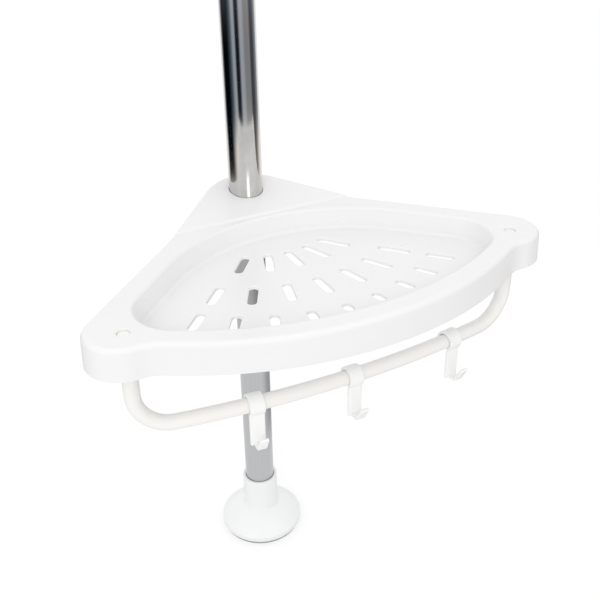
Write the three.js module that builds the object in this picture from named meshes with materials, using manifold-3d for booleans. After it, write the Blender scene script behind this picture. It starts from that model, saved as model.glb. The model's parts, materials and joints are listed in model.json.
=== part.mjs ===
// Corner shelf on a tension pole, in millimetres, with +Z up and the front of the shelf towards -Y.
// The origin is on the axis of the pole, at floor level.
import * as THREE from "three";
import { mergeVertices } from "three/addons/utils/BufferGeometryUtils.js";
import Module from "manifold-3d";

const wasm = await Module();
wasm.setup();

// Fits that every piece shares
const seatGap = 0.3; // left between two faces that rest on each other
const slideGap = 0.3; // left all round a piece that slides or turns
const overrun = 2; // how far a cutting shape reaches past what it cuts
const weldDistance = 1e-4; // corners closer than this are one corner

// Lower tube of the pole
const lowerTubeDiameter = 25;
const lowerTubeWall = 1;
const lowerTubeLength = 588;

// Foot: a domed cup with a socket for the tube, on a soft pad
const footRadius = 36;
const footDomeRadius = 48; // the dome is part of a ball of this radius
const footEdgeHeight = 4.6; // upright edge below the dome
const footCollarHeight = 33.2;
const footCollarWall = 2.4;
const footShell = 3;
const footSocketFloor = 12; // height of the face that the tube stands on
const footRibCount = 8;
const footRibThickness = 1.8;
const padThickness = 3;
const padInset = 1.5; // how far the pad's rim stays inside the foot's edge
const padSpigotHeight = 3;

// Twist lock that grips the upper tube
const lockBaseWall = 1.7;
const lockBaseHeight = 30;
const lockBaseFlange = 2; // how far its bottom flange stands proud
const lockBaseFlangeHeight = 4;
const lockNutRadius = 18;
const lockNutRoof = 3;
const lockNutFlutes = 12;
const lockNutFluteRadius = 2.2;
const lockNutChamfer = 1.5;
const gripRingHeight = 16;
const gripRingTaper = 1.6; // how much the ring's outside narrows towards its top
const gripRingWall = 3;
const gripRingSlit = 2;

// Upper tube, which slides in the lower one
const upperTubeDiameter = 22;
const upperTubeWall = 1;
const upperTubeLength = 460;
const upperTubeOverlap = 200; // how much of it is inside the lower tube at rest
const guideBushLength = 22;
const guideBushFlange = 6;
const guideBushBore = 5; // radius of the hole through it

// Sprung head: rod, plunger, spring and the seat that it pushes against
const rodDiameter = 17;
const rodWall = 1;
const headTravel = 40; // how far the sprung head can be pressed down
const mouthRingSpigot = 12; // how far the ring reaches down into the upper tube
const mouthRingRim = 4;
const mouthRingProud = 1.5;
const plungerFlange = 6;
const plungerSpigot = 16;
const springLength = 80;
const springWire = 1.8;
const springTurns = 9;
const springEndPitch = 2.6;
const springSideGap = 0.6; // between the coils and the tube
const springSeatHeight = 9;
const springSeatPin = 6;
const springSeatPinGap = 1; // between the pin and the coils round it

// Ceiling cup at the top of the rod
const cupRadius = 40;
const cupDomeRadius = 47;
const cupEdgeHeight = 4;
const cupCollarWall = 2.6;
const cupCollarHeight = 22;
const cupSocketDepth = 30;
const cupShell = 3;

// Tray outline, seen from above: two straight sides against the walls, a lobe at each end, a bowed front
const rimHeight = 326; // top of the tray's rim above the floor
const trayWallDistance = 26.1; // from the pole's axis to each wall side
const backCornerRadius = 39.5;
const earRadius = 23;
const earReach = 190.6; // from the pole to the middle of the lobe, along the wall
const frontArcRadius = 235.5;
const frontReach = 192.7; // from the pole's axis to the middle of the bowed front
const notchRadius = 25; // hollow curve between a lobe and the front arc
const rimEdgeRadius = 3.6;
const skirtHeight = 20.8;
const skirtDraft = 0.8; // how far the skirt leans outward at its foot
const trayWall = 2.4;

// Basin of the tray
const basinWallMargin = 14; // width of the rim along the wall sides
const basinFrontMargin = 13;
const basinBackRadius = 126;
const basinEndRadius = 30;
const basinDepth = 14;
const basinLipRadius = 2.4;
const basinWallRun = 3; // how far the wall leans in between its two rounded edges
const basinFilletRadius = 3.4;

// Raised corner that the pole passes through
const platformFront = 33; // its front edge, in front of the pole's axis
const platformStep = 1.2;
const platformSlopeShare = 0.206; // rise over run
const hubRadius = 19;
const hubDrop = 1.2; // how far the hub reaches below the skirt
const hubWebThickness = 2;

// Split tapered sleeve that the hub wedges on
const sleeveHeight = 23;
const sleeveTopWall = 2;
const sleeveBottomWall = 3.4;
const sleeveFlangeHeight = 3;
const sleeveFlangeRadius = 19;
const sleeveSlit = 1;

// Slots that fan out over the basin's floor, each row at its own distance from the pole
const slotWidth = 6.2;
const slotFanSetback = 26; // the slots point at a spot this far in front of the pole
const innerSlotReach = 79;
const innerSlotLength = 24.5;
const middleSlotReach = 121;
const middleSlotLength = 23;
const outerSlotReach = 153;
const outerSlotShortLength = 9.5;
const outerSlotLongLength = 20;
const slotGrowth = 1.3; // how late in the row the outer slots lengthen
const ringRibThickness = 1.6;
const ringRibDepth = 2.6;

// Towel rail under the front of the tray
const railDiameter = 10;
const railWall = 1;
const railDrop = 69; // from the rim's top to the rail's axis
const railArcRadius = 671;
const railBendRadius = 24;
const railLegForward = 4.7; // legs stand this far in front of the middle of the lobes
const railSocketWall = 2.6;
const railSocketRoof = 6; // from the rim's top to the end of the socket
const railPlugLength = 24;
const railPlugHoleRadius = 4;
const railPlugSink = 1.4; // top of the plug below the rim

// Hooks that clip over the rail
const hookWidth = 10;
const hookThickness = 2.4;
const hookClipWall = 2;
const hookStripFront = 4.6; // front face of the strip, in front of the rail's axis
const hookDrop = 29.2; // from the rail's axis to the underside of the hook
const hookReach = 17.8; // from the rail's axis to the tip of the lip
const hookLipFoot = 11; // where the lip starts to rise
const hookLipHeight = 13;
const hookTongueWidth = 6;
const hookBendRadius = 3;

// Angles in degrees and counts
const innerSlots = { count: 5, step: 13.3 };
const middleSlots = { count: 7, step: 11.2 };
const outerSlots = { count: 9, step: 8.9 };
const hookAngles = { hook_left: -5.47, hook_middle: 0.42, hook_right: 7.41 };
const hookClipStart = -70;
const hookClipEnd = 215;
const roundSteps = 32;
const innerRoundSteps = 24;
const smallRoundSteps = 16;

// Places worked out from the sizes above
const root2 = Math.SQRT2;
const lowerTubeRadius = lowerTubeDiameter / 2;
const lowerTubeBore = lowerTubeRadius - lowerTubeWall;
const lowerTubeBottom = footSocketFloor + seatGap;
const lowerTubeTop = lowerTubeBottom + lowerTubeLength;
const upperTubeRadius = upperTubeDiameter / 2;
const upperTubeBore = upperTubeRadius - upperTubeWall;
const upperTubeBottom = lowerTubeTop - upperTubeOverlap;
const upperTubeTop = upperTubeBottom + upperTubeLength;
const lockNutBottom = lowerTubeTop - lockBaseHeight + lockBaseFlangeHeight + seatGap;
const gripRingBottom = lowerTubeTop + seatGap;
const gripRingTop = gripRingBottom + gripRingHeight;
const lockNutTop = gripRingTop + seatGap + lockNutRoof;
const rodRadius = rodDiameter / 2;
const rodBore = rodRadius - rodWall;
const mouthRingBottom = upperTubeTop - mouthRingSpigot;
const plungerTop = mouthRingBottom - seatGap;
const plungerBottom = plungerTop - plungerFlange;
const springTop = plungerBottom - seatGap;
const springBottom = springTop - springLength;
const springSeatTop = springBottom - seatGap;
const mouthRingTop = upperTubeTop + seatGap + mouthRingRim;
const cupBottom = mouthRingTop + headTravel + seatGap;
const cupSocketRoof = cupBottom + cupSocketDepth;
const rodBottom = plungerTop + seatGap;
const rodTop = cupSocketRoof - seatGap;
const footCollar = lowerTubeRadius + slideGap + footCollarWall;
const footBottom = padThickness + seatGap;
const footDomeRise = domeRise(footRadius, footCollar, footDomeRadius);
const footTop = footBottom + footEdgeHeight + footDomeRise + footCollarHeight;
const cupCollar = rodRadius + slideGap + cupCollarWall;
const cupDomeRise = domeRise(cupRadius, cupCollar, cupDomeRadius);
const cupTop = cupBottom + cupCollarHeight + cupDomeRise + cupEdgeHeight;
const railAxisHeight = rimHeight - railDrop;
const railRadius = railDiameter / 2;
const frontArcSetback = frontArcRadius - frontReach; // centre of the front arc behind the pole's axis
const earX = (earReach + trayWallDistance - earRadius) / root2;
const earY = (trayWallDistance - earRadius - earReach) / root2;
const railLegX = earX;
const railLegY = earY - railLegForward;
const railArcCentreY = railLegY + Math.sqrt(railArcRadius ** 2 - railLegX ** 2);
const railTop = rimHeight - railSocketRoof - seatGap;
const basinFloor = rimHeight - basinDepth;
const skirtBottom = rimHeight - skirtHeight;
const ringRibReaches = [
  (innerSlotReach + innerSlotLength / 2 + middleSlotReach - middleSlotLength / 2) / 2,
  (middleSlotReach + middleSlotLength / 2 + outerSlotReach - outerSlotLongLength / 2) / 2,
];
const hubBottom = skirtBottom - hubDrop;
const sleeveFlangeTop = hubBottom - seatGap;
const sleeveTop = sleeveFlangeTop + sleeveHeight;

// Solids: closing a three.js geometry, joining and cutting
function closedMesh(geometry) {
  const bare = geometry.clone();
  for (const name of Object.keys(bare.attributes)) {
    if (name !== "position") bare.deleteAttribute(name);
  }
  const merged = mergeVertices(bare, weldDistance);
  const corners = merged.getAttribute("position");
  const triangles = [];
  let volume = 0;
  const [a, b, c] = [new THREE.Vector3(), new THREE.Vector3(), new THREE.Vector3()];
  for (let i = 0; i < merged.index.count; i += 3) {
    const face = [0, 1, 2].map((k) => merged.index.getX(i + k));
    if (new Set(face).size < 3) continue;
    a.fromBufferAttribute(corners, face[0]);
    b.fromBufferAttribute(corners, face[1]);
    c.fromBufferAttribute(corners, face[2]);
    volume += a.dot(b.cross(c));
    triangles.push(face);
  }
  const outward = triangles.map((face) => (volume < 0 ? [face[0], face[2], face[1]] : face));
  return { corners: new Float32Array(corners.array), triangles: new Uint32Array(outward.flat()) };
}

function solid(geometry) {
  const { corners, triangles } = closedMesh(geometry);
  return new wasm.Manifold(new wasm.Mesh({ numProp: 3, vertProperties: corners, triVerts: triangles }));
}

function geometryOf(body) {
  const mesh = body.getMesh();
  const geometry = new THREE.BufferGeometry();
  geometry.setAttribute("position", new THREE.BufferAttribute(new Float32Array(mesh.vertProperties), 3));
  geometry.setIndex(new THREE.BufferAttribute(new Uint32Array(mesh.triVerts), 1));
  geometry.computeVertexNormals();
  return geometry;
}

// A turned shape from [radius, height] pairs that start and end on the axis or close on themselves
function turned(profile, steps = roundSteps) {
  const points = profile.map(([radius, height]) => new THREE.Vector2(radius, height));
  return solid(new THREE.LatheGeometry(points, steps).rotateX(Math.PI / 2));
}

function rod(radius, bottom, top, steps = roundSteps) {
  return turned([[0, bottom], [radius, bottom], [radius, top], [0, top]], steps);
}

function pipe(outer, inner, bottom, top, steps = roundSteps) {
  return turned([[inner, bottom], [outer, bottom], [outer, top], [inner, top], [inner, bottom]], steps);
}

function block(width, depth, height, x, y, z) {
  return solid(new THREE.BoxGeometry(width, depth, height).translate(x, y, z));
}

// A flat shape pushed up from one height to another
function slab(shape, bottom, top, curveSegments = 6) {
  const options = { depth: top - bottom, bevelEnabled: false, steps: 1, curveSegments };
  return solid(new THREE.ExtrudeGeometry(shape, options).translate(0, 0, bottom));
}

// Rings of matching corners joined into one skin, with a flat cap at each end
function loft(rings) {
  const count = rings[0].length;
  const positions = rings.flat().flatMap((point) => [point.x, point.y, point.z]);
  const faces = [];
  for (let ring = 0; ring + 1 < rings.length; ring += 1) {
    for (let i = 0; i < count; i += 1) {
      const next = (i + 1) % count;
      const [a, b] = [ring * count + i, ring * count + next];
      const [c, d] = [a + count, b + count];
      faces.push(a, b, d, a, d, c);
    }
  }
  for (const [ring, flip] of [[0, true], [rings.length - 1, false]]) {
    const flat = rings[ring].map((point) => new THREE.Vector2(point.x, point.y));
    for (const [a, b, c] of THREE.ShapeUtils.triangulateShape(flat, [])) {
      const corners = flip ? [a, c, b] : [a, b, c];
      faces.push(...corners.map((index) => ring * count + index));
    }
  }
  const geometry = new THREE.BufferGeometry();
  geometry.setAttribute("position", new THREE.Float32BufferAttribute(positions, 3));
  geometry.setIndex(faces);
  return solid(geometry);
}

// Points along an arc, from one angle to another, leaving the last point to the arc that follows
function arc(centreX, centreY, radius, from, to, steps, keepLast) {
  const points = [];
  for (let i = 0; i < steps + (keepLast ? 1 : 0); i += 1) {
    const angle = from + ((to - from) * i) / steps;
    points.push(new THREE.Vector2(centreX + radius * Math.cos(angle), centreY + radius * Math.sin(angle)));
  }
  return points;
}

// The tray's outline, drawn in by an inset: round stretches keep their centres and change radius
function trayOutline(inset) {
  const quarter = Math.PI / 4;
  const cornerY = (trayWallDistance - backCornerRadius) * root2;
  const reach = Math.hypot(earX, earY - frontArcSetback);
  const toNotch = frontArcRadius + notchRadius;
  const earToNotch = earRadius + notchRadius;
  const turn = Math.acos((reach ** 2 + toNotch ** 2 - earToNotch ** 2) / (2 * reach * toNotch));
  const notchAngle = Math.atan2(earY - frontArcSetback, earX) - turn;
  const notchX = toNotch * Math.cos(notchAngle);
  const notchY = frontArcSetback + toNotch * Math.sin(notchAngle);
  const earAngle = Math.atan2(notchY - earY, notchX - earX);
  const [corner, ear, front] = [backCornerRadius, earRadius, frontArcRadius].map((r) => r - inset);
  const notch = notchRadius + inset;
  return [
    ...arc(0, cornerY, corner, quarter, 3 * quarter, 8, true),
    ...arc(-earX, earY, ear, 3 * quarter, Math.PI - earAngle, 9, false),
    ...arc(-notchX, notchY, notch, -earAngle, -Math.PI - notchAngle + Math.PI, 4, false),
    ...arc(0, frontArcSetback, front, Math.PI - notchAngle, 2 * Math.PI + notchAngle, 16, false),
    ...arc(notchX, notchY, notch, Math.PI + notchAngle, Math.PI + earAngle, 4, false),
    ...arc(earX, earY, ear, earAngle, quarter, 9, true),
  ];
}

// The basin's outline, drawn in by an inset
function basinOutline(inset) {
  const quarter = Math.PI / 4;
  const wall = (trayWallDistance - basinWallMargin) * root2;
  const backY = wall - basinBackRadius * root2;
  const frontRadius = frontArcRadius - basinFrontMargin;
  const lean = wall - basinEndRadius * root2;
  const half = (lean - frontArcSetback) / 2;
  const endReach = frontRadius - basinEndRadius;
  const endX = half + Math.sqrt(endReach ** 2 / 2 - half ** 2);
  const endY = lean - endX;
  const endAngle = Math.atan2(endY - frontArcSetback, endX);
  return [
    ...arc(0, backY, basinBackRadius - inset, quarter, 3 * quarter, 14, true),
    ...arc(-endX, endY, basinEndRadius - inset, 3 * quarter, Math.PI - endAngle, 8, false),
    ...arc(0, frontArcSetback, frontRadius - inset, Math.PI - endAngle, 2 * Math.PI + endAngle, 16, false),
    ...arc(endX, endY, basinEndRadius - inset, endAngle, quarter, 8, true),
  ];
}

function ringAt(outline, height) {
  return outline.map((point) => {
    const z = typeof height === "function" ? height(point.y) : height;
    return new THREE.Vector3(point.x, point.y, z);
  });
}

function platformLevel(y) {
  return rimHeight + platformStep + (y + platformFront) * platformSlopeShare;
}

// Quarter-round steps from an upright face to a flat one, as [inset, drop] pairs
function roundedEdge(radius, steps) {
  return Array.from({ length: steps + 1 }, (_, i) => {
    const angle = (i / steps) * (Math.PI / 2);
    return [radius * (1 - Math.cos(angle)), radius * (1 - Math.sin(angle))];
  });
}

// Everything inside the tray's outer faces: the flat-topped front, and behind the crease the raised corner
function trayBlock(inset, roof, floorLevel, edgeSteps) {
  const steps = roundedEdge(Math.max(rimEdgeRadius - inset, trayWall / 2), edgeSteps);
  const skirt = ringAt(trayOutline(inset - skirtDraft), floorLevel);
  const flat = steps.map(([draw, drop]) => ringAt(trayOutline(inset + draw), rimHeight - roof - drop));
  const raised = steps.map(([draw, drop]) => {
    return ringAt(trayOutline(inset + draw), (y) => platformLevel(y) - roof - drop);
  });
  const depth = 2 * trayWallDistance + platformFront;
  const behind = block(2 * earX, depth, 4 * skirtHeight, 0, depth / 2 - platformFront + inset, rimHeight);
  return loft([skirt, ...flat]).subtract(behind).add(loft([skirt, ...raised]).intersect(behind));
}

// The basin as a solid: the hollow itself, or with a wall added the shell round it
function basinBody(wall, edgeSteps) {
  const lip = roundedEdge(basinLipRadius, edgeSteps).reverse();
  const fillet = roundedEdge(basinFilletRadius, edgeSteps);
  const filletInset = basinLipRadius + basinWallRun;
  const rings = [ringAt(basinOutline(-wall), rimHeight + overrun)];
  for (const [draw, drop] of lip) {
    rings.push(ringAt(basinOutline(basinLipRadius - draw - wall), rimHeight - drop - wall));
  }
  for (const [draw, drop] of fillet) {
    rings.push(ringAt(basinOutline(filletInset + draw - wall), basinFloor - wall + drop));
  }
  return loft(rings.reverse());
}

// One slot with round ends, pointing away from the fan's centre
function slot(reach, angle, length) {
  const middle = new THREE.Vector2(reach * Math.sin(angle), -reach * Math.cos(angle));
  const heading = Math.atan2(middle.x, -middle.y - slotFanSetback);
  const [half, end] = [slotWidth / 2, length / 2 - slotWidth / 2];
  const shape = new THREE.Shape();
  shape.absarc(0, end, half, 0, Math.PI, false);
  shape.absarc(0, -end, half, Math.PI, 2 * Math.PI, false);
  const floorBottom = basinFloor - trayWall - ringRibDepth;
  const body = slab(shape, floorBottom - overrun, basinFloor + overrun, 4);
  return body.rotate([0, 0, THREE.MathUtils.radToDeg(heading)]).translate([middle.x, middle.y, 0]);
}

function slotRow({ count, step }, reach, shortLength, longLength) {
  return Array.from({ length: count }, (_, i) => {
    const place = i - (count - 1) / 2;
    const share = Math.abs(place) / ((count - 1) / 2);
    const length = shortLength + (longLength - shortLength) * share ** slotGrowth;
    return slot(reach, THREE.MathUtils.degToRad(place * step), length);
  });
}

// Turned pocket that the split sleeve wedges into, with a close hole for the tube above it
function hubPocket() {
  const [bottomRadius, topRadius] = [sleeveBottomWall, sleeveTopWall].map((wall) => {
    return lowerTubeRadius + slideGap + wall + slideGap;
  });
  const roof = sleeveTop + seatGap;
  const hole = lowerTubeRadius + slideGap;
  const above = platformLevel(trayWallDistance * root2) + overrun;
  return turned([
    [0, hubBottom - overrun],
    [bottomRadius, hubBottom - overrun],
    [bottomRadius, hubBottom],
    [topRadius, roof],
    [hole, roof],
    [hole, above],
    [0, above],
  ]);
}

// Webs, hub, rail sockets and ring ribs, kept when the underside is hollowed
function traySupports() {
  const high = platformLevel(trayWallDistance * root2);
  const socketRadius = railRadius + slideGap + railSocketWall;
  const webHeight = skirtHeight - hubDrop;
  const webMiddle = skirtBottom + hubDrop + webHeight / 2;
  const webLength = trayWallDistance + overrun;
  let supports = rod(hubRadius, hubBottom, high);
  for (const side of [-1, 1]) {
    supports = supports.add(rod(socketRadius, skirtBottom, rimHeight, smallRoundSteps)
      .translate([side * railLegX, railLegY, 0]));
    supports = supports.add(block(webLength, hubWebThickness, webHeight, webLength / 2, 0, webMiddle)
      .rotate([0, 0, 90 - side * 45]));
  }
  const frontWeb = platformFront + basinWallRun;
  supports = supports.add(block(hubWebThickness, frontWeb, webHeight, 0, -frontWeb / 2, webMiddle));
  return supports;
}

function ringRibs() {
  const ribBottom = basinFloor - trayWall - ringRibDepth;
  const under = loft([
    ringAt(basinOutline(basinLipRadius), ribBottom - overrun),
    ringAt(basinOutline(basinLipRadius), basinFloor - trayWall / 2),
  ]);
  const rings = ringRibReaches.map((reach) => {
    const [outer, inner] = [reach + ringRibThickness / 2, reach - ringRibThickness / 2];
    return pipe(outer, inner, ribBottom, basinFloor - trayWall / 2, 3 * smallRoundSteps);
  });
  return rings[0].add(rings[1]).intersect(under);
}

function tray() {
  const hollow = trayBlock(trayWall, trayWall, skirtBottom - overrun, 1)
    .subtract(basinBody(trayWall, 2))
    .subtract(traySupports());
  let body = trayBlock(0, 0, skirtBottom, 3)
    .subtract(hollow)
    .subtract(basinBody(0, 3))
    .add(ringRibs())
    .add(rod(hubRadius, hubBottom, rimHeight - platformStep));
  const cuts = [
    hubPocket(),
    ...slotRow(innerSlots, innerSlotReach, innerSlotLength, innerSlotLength),
    ...slotRow(middleSlots, middleSlotReach, middleSlotLength, middleSlotLength),
    ...slotRow(outerSlots, outerSlotReach, outerSlotShortLength, outerSlotLongLength),
  ];
  const socket = rod(railRadius + slideGap, skirtBottom - overrun, rimHeight - railSocketRoof, smallRoundSteps)
    .add(rod(railPlugHoleRadius, rimHeight - railSocketRoof - overrun, rimHeight + overrun, smallRoundSteps));
  for (const side of [-1, 1]) {
    cuts.push(socket.translate([side * railLegX, railLegY, 0]));
  }
  for (const cut of cuts) {
    body = body.subtract(cut);
  }
  return body;
}

// Height that a ball-shaped dome gains between its rim and its collar
function domeRise(rim, collar, ball) {
  return Math.sqrt(ball ** 2 - collar ** 2) - Math.sqrt(ball ** 2 - rim ** 2);
}

// Section of a ball-shaped dome from its rim up to its collar, as [radius, height] pairs
function domeCurve(rim, collar, ball, centre, steps) {
  const [from, to] = [rim, collar].map((radius) => Math.acos(radius / ball));
  return Array.from({ length: steps + 1 }, (_, i) => {
    const angle = from + ((to - from) * i) / steps;
    return [ball * Math.cos(angle), centre + ball * Math.sin(angle)];
  });
}

// Domed shell with a collar, open underneath: the foot stands on it, the ceiling cup is the same upside down
function domedCupProfile({ rim, ball, edge, collar, shell, socket, socketFloor, height }) {
  const centre = edge - Math.sqrt(ball ** 2 - rim ** 2);
  const outside = domeCurve(rim, collar, ball, centre, 6);
  const inside = domeCurve(rim - shell, collar, ball - shell, centre, 4).reverse();
  return [
    [0, 0],
    [collar, 0],
    ...inside,
    [rim - shell, 0],
    [rim, 0],
    ...outside,
    [collar, height - seatGap],
    [collar - seatGap, height],
    [socket, height],
    [socket, socketFloor],
    [0, socketFloor],
  ];
}

function footCup() {
  const socket = lowerTubeRadius + slideGap;
  const profile = domedCupProfile({
    rim: footRadius,
    ball: footDomeRadius,
    edge: footEdgeHeight,
    collar: footCollar,
    shell: footShell,
    socket,
    socketFloor: footSocketFloor - footBottom,
    height: footTop - footBottom,
  });
  let cup = turned(profile);
  const ribBottom = padSpigotHeight + seatGap;
  const ribHeight = footEdgeHeight + footDomeRise - ribBottom;
  const ribLength = footRadius - footCollar;
  const ribMiddle = footCollar - footCollarWall / 2 + ribLength / 2;
  const centre = footEdgeHeight - Math.sqrt(footDomeRadius ** 2 - footRadius ** 2);
  const half = footShell / 2;
  const dome = domeCurve(footRadius - half, footCollar - half, footDomeRadius - half, centre, 5);
  const envelope = turned([[0, 0], [footRadius - half, 0], ...dome, [0, dome[dome.length - 1][1]]]);
  for (let i = 0; i < footRibCount; i += 1) {
    const rib = block(ribLength, footRibThickness, ribHeight, ribMiddle, 0, ribBottom + ribHeight / 2);
    cup = cup.add(rib.rotate([0, 0, (360 / footRibCount) * (i + 0.5)]).intersect(envelope));
  }
  return cup.translate([0, 0, footBottom]);
}

// Soft pad: a disc with a raised ring that holds it inside the shell above or below it
function padProfile(shellRadius, shellThickness, collar) {
  const outer = shellRadius - padInset;
  const ringOuter = shellRadius - shellThickness - slideGap;
  const ringInner = (shellRadius + collar) / 2;
  return [
    [0, 0],
    [outer - padInset / 2, 0],
    [outer, padInset / 2],
    [outer, padThickness],
    [ringOuter, padThickness],
    [ringOuter, padThickness + padSpigotHeight],
    [ringInner, padThickness + padSpigotHeight],
    [ringInner, padThickness],
    [0, padThickness],
  ];
}

function ceilingCup() {
  const profile = domedCupProfile({
    rim: cupRadius,
    ball: cupDomeRadius,
    edge: cupEdgeHeight,
    collar: cupCollar,
    shell: cupShell,
    socket: rodRadius + slideGap,
    socketFloor: cupTop - cupSocketRoof,
    height: cupTop - cupBottom,
  });
  return turned(profile).rotate([180, 0, 0]).translate([0, 0, cupTop]);
}

// Quarter-turn lock: a base on the lower tube, a fluted nut and a split ring that grips the upper tube
function lockBase() {
  const inner = lowerTubeRadius + slideGap;
  const outer = inner + lockBaseWall;
  const bottom = lowerTubeTop - lockBaseHeight;
  const flangeTop = bottom + lockBaseFlangeHeight;
  return turned([
    [inner, bottom],
    [outer + lockBaseFlange, bottom],
    [outer + lockBaseFlange, flangeTop],
    [outer, flangeTop],
    [outer, lowerTubeTop],
    [inner, lowerTubeTop],
    [inner, bottom],
  ]);
}

function lockNut() {
  const wide = lowerTubeRadius + slideGap + lockBaseWall + slideGap;
  const gripOuter = upperTubeRadius + slideGap + gripRingWall + slideGap;
  const hole = upperTubeRadius + slideGap;
  const roof = lockNutTop - lockNutRoof;
  let nut = turned([
    [wide, lockNutBottom],
    [lockNutRadius - lockNutChamfer, lockNutBottom],
    [lockNutRadius, lockNutBottom + lockNutChamfer],
    [lockNutRadius, lockNutTop - lockNutChamfer],
    [lockNutRadius - lockNutChamfer, lockNutTop],
    [hole, lockNutTop],
    [hole, roof],
    [gripOuter - gripRingTaper, roof],
    [gripOuter - gripRingTaper, gripRingTop],
    [gripOuter, gripRingBottom - seatGap / 2],
    [wide, gripRingBottom - seatGap / 2],
    [wide, lockNutBottom],
  ], 2 * lockNutFlutes);
  const flute = rod(lockNutFluteRadius, lockNutBottom - overrun, lockNutTop + overrun, 8);
  for (let i = 0; i < lockNutFlutes; i += 1) {
    const angle = (2 * Math.PI * (i + 0.5)) / lockNutFlutes;
    const reach = lockNutRadius + lockNutFluteRadius / 2;
    nut = nut.subtract(flute.translate([reach * Math.cos(angle), reach * Math.sin(angle), 0]));
  }
  return nut;
}

function gripRing() {
  const inner = upperTubeRadius + slideGap;
  const outer = inner + gripRingWall;
  const ring = turned([
    [inner, gripRingBottom],
    [outer, gripRingBottom],
    [outer - gripRingTaper, gripRingTop],
    [inner, gripRingTop],
    [inner, gripRingBottom],
  ]);
  const slitLength = outer + overrun;
  const slitHeight = gripRingHeight + 2 * overrun;
  const middle = (gripRingBottom + gripRingTop) / 2;
  return ring.subtract(block(slitLength, gripRingSlit, slitHeight, slitLength / 2, 0, middle));
}

// Bush in the foot of the upper tube, and the ring in its mouth
function guideBush() {
  const flange = lowerTubeBore - slideGap;
  const spigot = upperTubeBore - slideGap;
  const flangeTop = upperTubeBottom - seatGap;
  return turned([
    [guideBushBore, flangeTop - guideBushFlange],
    [flange, flangeTop - guideBushFlange],
    [flange, flangeTop],
    [spigot, flangeTop],
    [spigot, flangeTop + guideBushLength - guideBushFlange],
    [guideBushBore, flangeTop + guideBushLength - guideBushFlange],
    [guideBushBore, flangeTop - guideBushFlange],
  ], innerRoundSteps);
}

function mouthRing() {
  const bore = rodRadius + slideGap;
  const rim = upperTubeRadius + mouthRingProud;
  const seat = upperTubeTop + seatGap;
  return turned([
    [bore, mouthRingBottom],
    [upperTubeBore - slideGap, mouthRingBottom],
    [upperTubeBore - slideGap, seat],
    [rim, seat],
    [rim, mouthRingTop - mouthRingRim / 2],
    [rim - mouthRingRim / 2, mouthRingTop],
    [bore, mouthRingTop],
    [bore, mouthRingBottom],
  ]);
}

function springSeat() {
  const bottom = springSeatTop - springSeatHeight;
  const pinRadius = upperTubeBore - springSideGap - springWire - springSeatPinGap;
  return turned([
    [0, bottom],
    [upperTubeBore - slideGap, bottom],
    [upperTubeBore - slideGap, springSeatTop],
    [pinRadius, springSeatTop],
    [pinRadius, springSeatTop + springSeatPin / 2],
    [pinRadius / 2, springSeatTop + springSeatPin],
    [0, springSeatTop + springSeatPin],
  ], innerRoundSteps);
}

function plunger() {
  return turned([
    [0, plungerBottom],
    [upperTubeBore - slideGap, plungerBottom],
    [upperTubeBore - slideGap, plungerTop],
    [rodBore - slideGap, plungerTop],
    [rodBore - slideGap, plungerTop + plungerSpigot],
    [0, plungerTop + plungerSpigot],
  ], innerRoundSteps);
}

// A helix whose first and last turns lie close together, as on a spring with ground ends
class SpringPath extends THREE.Curve {
  getUtoTmapping(u) {
    return u;
  }

  getPoint(t) {
    const radius = upperTubeBore - springSideGap - springWire / 2;
    const turn = t * springTurns;
    const closeRise = Math.min(turn, 1) + Math.max(turn - (springTurns - 1), 0);
    const openRise = Math.min(Math.max(turn - 1, 0), springTurns - 2);
    const openPitch = (springLength - springWire / 2 - 2 * springEndPitch) / (springTurns - 2);
    const height = springBottom + springWire / 4 + closeRise * springEndPitch + openRise * openPitch;
    const angle = 2 * Math.PI * turn;
    return new THREE.Vector3(radius * Math.cos(angle), radius * Math.sin(angle), height);
  }
}

function roundSection(radius, sides) {
  const shape = new THREE.Shape();
  for (let i = 0; i < sides; i += 1) {
    const angle = (2 * Math.PI * i) / sides;
    shape[i ? "lineTo" : "moveTo"](radius * Math.cos(angle), radius * Math.sin(angle));
  }
  shape.closePath();
  return shape;
}

function tensionSpring() {
  const path = new SpringPath();
  const steps = springTurns * 8;
  const section = roundSection(springWire / 2, 5);
  const wire = solid(new THREE.ExtrudeGeometry(section, { steps, extrudePath: path, bevelEnabled: false }));
  const points = path.getPoints(steps);
  let nearest = springLength;
  for (let i = 0; i < points.length; i += 1) {
    for (let j = i + 4; j < points.length; j += 1) {
      nearest = Math.min(nearest, points[i].distanceTo(points[j]) - springWire);
    }
  }
  console.log(`Least gap between turns of the spring: ${nearest.toFixed(2)} mm`);
  return wire.intersect(rod(upperTubeBore, springBottom, springTop));
}

// Split tapered sleeve: a left and a right half round the tube, under the hub
function sleeveHalf(side) {
  const inner = lowerTubeRadius + slideGap;
  const cone = turned([
    [inner, sleeveFlangeTop - sleeveFlangeHeight],
    [sleeveFlangeRadius, sleeveFlangeTop - sleeveFlangeHeight],
    [sleeveFlangeRadius, sleeveFlangeTop],
    [inner + sleeveBottomWall, sleeveFlangeTop],
    [inner + sleeveTopWall, sleeveTop],
    [inner, sleeveTop],
    [inner, sleeveFlangeTop - sleeveFlangeHeight],
  ]);
  const reach = sleeveFlangeRadius + overrun;
  const height = sleeveHeight + sleeveFlangeHeight + 2 * overrun;
  const middle = (sleeveFlangeTop - sleeveFlangeHeight + sleeveTop) / 2;
  const half = block(reach, 2 * reach, height, side * (reach / 2 + sleeveSlit / 2), 0, middle);
  return cone.intersect(half);
}

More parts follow.
